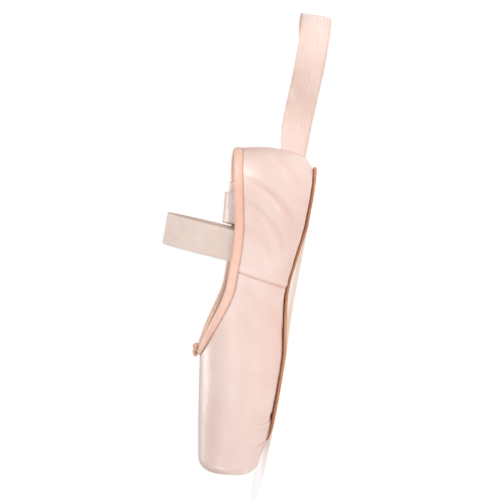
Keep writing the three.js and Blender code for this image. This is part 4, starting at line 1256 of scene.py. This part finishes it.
def route_line(points, t):
    """The centripetal Catmull-Rom line through the points, at t from 0 to 1, evenly by its points."""
    ends = np.concatenate([[2 * points[0] - points[1]], points, [2 * points[-1] - points[-2]]])
    at = np.clip(t, 0, 1) * (len(points) - 1)
    i = np.minimum(np.floor(at).astype(int), len(points) - 2)
    f = (at - i)[:, None]
    a, b, c, d = ends[i], ends[i + 1], ends[i + 2], ends[i + 3]
    ab, bc, cd = (np.maximum(np.sum((q - p) ** 2, -1, keepdims=True) ** 0.25, 1e-4)
                  for p, q in ((a, b), (b, c), (c, d)))
    first = ((b - a) / ab - (c - a) / (ab + bc) + (c - b) / bc) * bc
    second = ((c - b) / bc - (d - b) / (bc + cd) + (d - c) / cd) * bc
    cubic = 2 * (b - c) + first + second
    return b + first * f + (3 * (c - b) - 2 * first - second) * f ** 2 + cubic * f ** 3


def ribbon_frame(route, rows):
    """A ribbon's middle line, the direction of its width and the one out of its face, and the lengths
    along it. The width is level across the line, or along the shoe where the line is steep or high,
    then turned by the route's tilt, and eased along the length by a bell."""
    STEEP, EASE, CLEAR = 0.6, 11, 0.9
    route = np.array(route, dtype=float)
    t = np.linspace(0, 1, rows)
    line = route_line(route[:, :3], t)
    tilt = np.radians(np.interp(t * (len(route) - 1), np.arange(len(route)), route[:, 3]))
    ease(tilt, 30)
    forward = unit(np.gradient(line, axis=0))
    level = np.hypot(forward[:, 0], forward[:, 1])
    across = np.stack([forward[:, 1], -forward[:, 0], 0 * level], -1) / np.maximum(level, 1e-6)[:, None]
    steep = ((level < STEEP) | (line[:, 2] > RIBBON_WIDTH / 2 + 1)).astype(float)
    ease(steep, 60)
    across = across * (1 - steep)[:, None] + np.array([-1.0, 0, 0]) * steep[:, None]
    across = square_to(across, forward)
    width = across * np.cos(tilt)[:, None] + np.cross(across, forward) * np.sin(tilt)[:, None]
    length = lengths_along(line)
    near = bell(length[:, None] - length, EASE) * np.gradient(length)
    width = square_to(near @ width, forward)
    line[:, 2] = np.maximum(line[:, 2], np.abs(width[:, 2]) * RIBBON_WIDTH / 2 + CLEAR)
    return line, width, np.cross(width, forward), length


def make_ribbon(name, route, seed):
    """A satin ribbon: a thin band carried along its route, slightly cupped, its long edges woven a
    little fuller and gently waved where it lies free. Also returns its route in metres and its
    length."""
    rows, columns, HALF_THICKNESS, LOWEST = 900, 23, 0.24, 0.25
    line, width, out, length = ribbon_frame(route, rows)
    long = length[:, None]
    w = np.linspace(-1, 1, columns)
    free = smooth(long, 95, 150)
    swing = np.sin(long / 9.5 + seed) + 0.6 * np.sin(long / 5.1 + 2 * seed)
    wave = 0.55 * free * np.abs(w) ** 2.5 * swing * np.sign(w)
    cup = 0.5 * free * (w ** 2 - 0.4)
    uv = grid_uv(long, w * RIBBON_WIDTH / 2)
    ripple = 0.12 * free * value_noise(np.concatenate([uv, 0 * uv[..., :1]], -1), 7, seed)
    centre = line[:, None] + width[:, None] * (w * RIBBON_WIDTH / 2)[:, None]
    centre = centre + out[:, None] * (wave + cup + ripple)[..., None]
    ease(centre, 40)
    thick = HALF_THICKNESS + 0.10 * bell(np.abs(w) - 0.95, 0.05)
    half = out[:, None] * thick[:, None]
    points, faces = closed_band(centre + half, centre - half)
    points[..., 2] = np.maximum(points[..., 2], LOWEST)
    edge = 0.25 * bell(np.abs(w) - 0.93, 0.06) + 0 * wave
    piece = mesh_piece(name, points, faces, [RIBBON], uv=both_ways(uv, uv),
                       attributes={"tint_and_painted_shade": both_ways(edge, edge)})
    outward_faces(piece)
    path = [tuple(point) for point in in_metres(np.concatenate([line[::6], line[-1:]]))]
    return piece, path, length[-1] * MM


# The length that make_ribbon returns is the drawn line's own. A real ribbon has about 0.45 to 0.6 m.
for side, route, seed in (("right", RIGHT_ROUTE, 13), ("left", LEFT_ROUTE, 41)):
    ribbon, path, long = make_ribbon(f"ankle_ribbon_{side}", route, seed)
    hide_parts(f"ribbon_{side}")
    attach(ribbon, "root")

# ---------------------------------------------------------------- floor, backdrop, lights, camera

WHITE = 1.0
AMBIENT = 0.32
FLOOR_GLOW = 0.34
FLOOR_SIDES = 96
BACKDROP_RADIUS = 6


def white_glow(tree, strength):
    """White light of its own, the same from every side."""
    glow = tree.nodes.new("ShaderNodeEmission")
    glow.inputs["Color"].default_value = (1, 1, 1, 1)
    glow.inputs["Strength"].default_value = strength
    return glow.outputs[0]


def backdrop_material():
    """Plain white light, for the backdrop."""
    material = bpy.data.materials.new("backdrop_white")
    material.use_nodes = True
    tree = material.node_tree
    tree.nodes.remove(tree.nodes["Principled BSDF"])
    tree.links.new(white_glow(tree, WHITE), tree.nodes["Material Output"].inputs["Surface"])
    return material


def floor_material():
    """Matt pale floor, a little lit from within like a light table, that fades to the backdrop's white."""
    FADE_FROM, FADE_TO = 0.2, 0.7
    material = bpy.data.materials.new("pale_floor")
    material.use_nodes = True
    tree = material.node_tree
    shader = tree.nodes["Principled BSDF"]
    for socket, value in {"Base Color": (0.86, 0.86, 0.86, 1), "Roughness": 0.8, "Specular IOR Level": 0.1,
                          "Emission Color": (1, 1, 1, 1), "Emission Strength": FLOOR_GLOW}.items():
        shader.inputs[socket].default_value = value
    far = tree.nodes.new("ShaderNodeVectorMath")
    far.operation = "LENGTH"
    tree.links.new(object_place(tree), far.inputs[0])
    mix = tree.nodes.new("ShaderNodeMixShader")
    tree.links.new(remap(tree, far.outputs["Value"], FADE_FROM, FADE_TO, 0, 1), mix.inputs[0])
    tree.links.new(shader.outputs[0], mix.inputs[1])
    tree.links.new(white_glow(tree, WHITE), mix.inputs[2])
    tree.links.new(mix.outputs[0], tree.nodes["Material Output"].inputs["Surface"])
    return material


def make_floor(name, rings, material):
    """Flat rings of floor between the radii given. The first ring is a whole disc where it starts at 0."""
    turn = np.linspace(0, 2 * np.pi, FLOOR_SIDES, endpoint=False)
    radii = np.array([r for r in rings if r > 0])[:, None]
    points = np.stack([radii * np.cos(turn), radii * np.sin(turn), 0 * radii * turn], -1)
    points = points.reshape(-1, 3).tolist()
    faces = quads(len(radii), FLOOR_SIDES, wrap_columns=True).tolist()
    if rings[0] == 0:
        points.append((0, 0, 0))
        faces += [(len(points) - 1, i, (i + 1) % FLOOR_SIDES) for i in range(FLOOR_SIDES)]
    mesh = bpy.data.meshes.new(name)
    mesh.from_pydata(points, [], faces)
    mesh.materials.append(material)
    return add_object(name, mesh)


def make_backdrop():
    """A white dome round everything, seen by the camera only; it lights nothing."""
    mesh = bpy.data.meshes.new("studio_backdrop")
    bm = bmesh.new()
    bmesh.ops.create_uvsphere(bm, u_segments=32, v_segments=16, radius=BACKDROP_RADIUS)
    bm.to_mesh(mesh)
    bm.free()
    mesh.materials.append(backdrop_material())
    dome = add_object("studio_backdrop", mesh)
    dome.visible_diffuse = dome.visible_glossy = dome.visible_transmission = dome.visible_shadow = False
    return dome


def softbox(name, where, size, power, tint=(1, 1, 1)):
    """A rectangular area light that faces the shoe."""
    data = bpy.data.lights.new(name, "AREA")
    data.shape = "RECTANGLE"
    data.size, data.size_y = size
    data.energy = power
    data.color = tint
    light = add_object(name, data)
    light.location = where
    light.rotation_euler = (Vector((0, 0, 0.03)) - Vector(where)).to_track_quat("-Z", "Y").to_euler()


def place_camera():
    """The camera looks from the shoe's left side, just above the floor, and is rolled so that the toe
    points down the picture, leaning ten degrees to the right. Its view is SPAN metres wide at the
    shoe."""
    AZIMUTH, ELEVATION, LEAN = math.radians(184), math.radians(4), math.radians(10)
    LENS, SENSOR, SPAN, AIM = 120, 36, 0.352, Vector((-0.042, 0, 0.036))
    back = Vector((math.sin(AZIMUTH) * math.cos(ELEVATION), -math.cos(AZIMUTH) * math.cos(ELEVATION),
                   math.sin(ELEVATION)))
    toeward = Vector((1, 0, 0))
    toeward = (toeward - back * toeward.dot(back)).normalized()
    upward = back.cross(toeward)
    if upward.z < 0:
        upward = -upward
    up = -(toeward * math.cos(LEAN) - upward * math.sin(LEAN)).normalized()
    data = bpy.data.cameras.new("photo_camera")
    data.lens, data.sensor_width = LENS, SENSOR
    data.clip_start, data.clip_end = 0.01, 50
    camera = add_object("photo_camera", data)
    rotation = Matrix((up.cross(back), up, back)).transposed()
    camera.matrix_world = Matrix.Translation(AIM + back * SPAN * LENS / SENSOR) @ rotation.to_4x4()
    return camera


PALE_FLOOR = floor_material()
near_floor = make_floor("studio_floor", (0, 0.3, 0.5), PALE_FLOOR)
far_floor = make_floor("studio_floor_far", (0.5, 0.8, 1.2), PALE_FLOOR)
far_floor.visible_diffuse = False
make_backdrop()
world = bpy.data.worlds.new("studio_light")
bpy.context.scene.world = world
world.use_nodes = True
world.node_tree.nodes["Background"].inputs["Color"].default_value = (1, 1, 1, 1)
world.node_tree.nodes["Background"].inputs["Strength"].default_value = AMBIENT
softbox("key_softbox", (-0.72, 0.72, 0.70), (0.75, 0.6), 9.8, (1, 0.985, 0.97))
softbox("front_fill", (0.35, 1.2, 0.6), (0.8, 0.6), 1.6)
softbox("toe_strip", (0.85, 0.35, 0.45), (0.12, 0.6), 2.2)
softbox("far_fill", (0.1, -0.8, 1.15), (0.9, 0.6), 5.5, (1, 0.99, 0.98))
bpy.context.scene.camera = place_camera()
bpy.context.scene.view_settings.view_transform = "Standard"
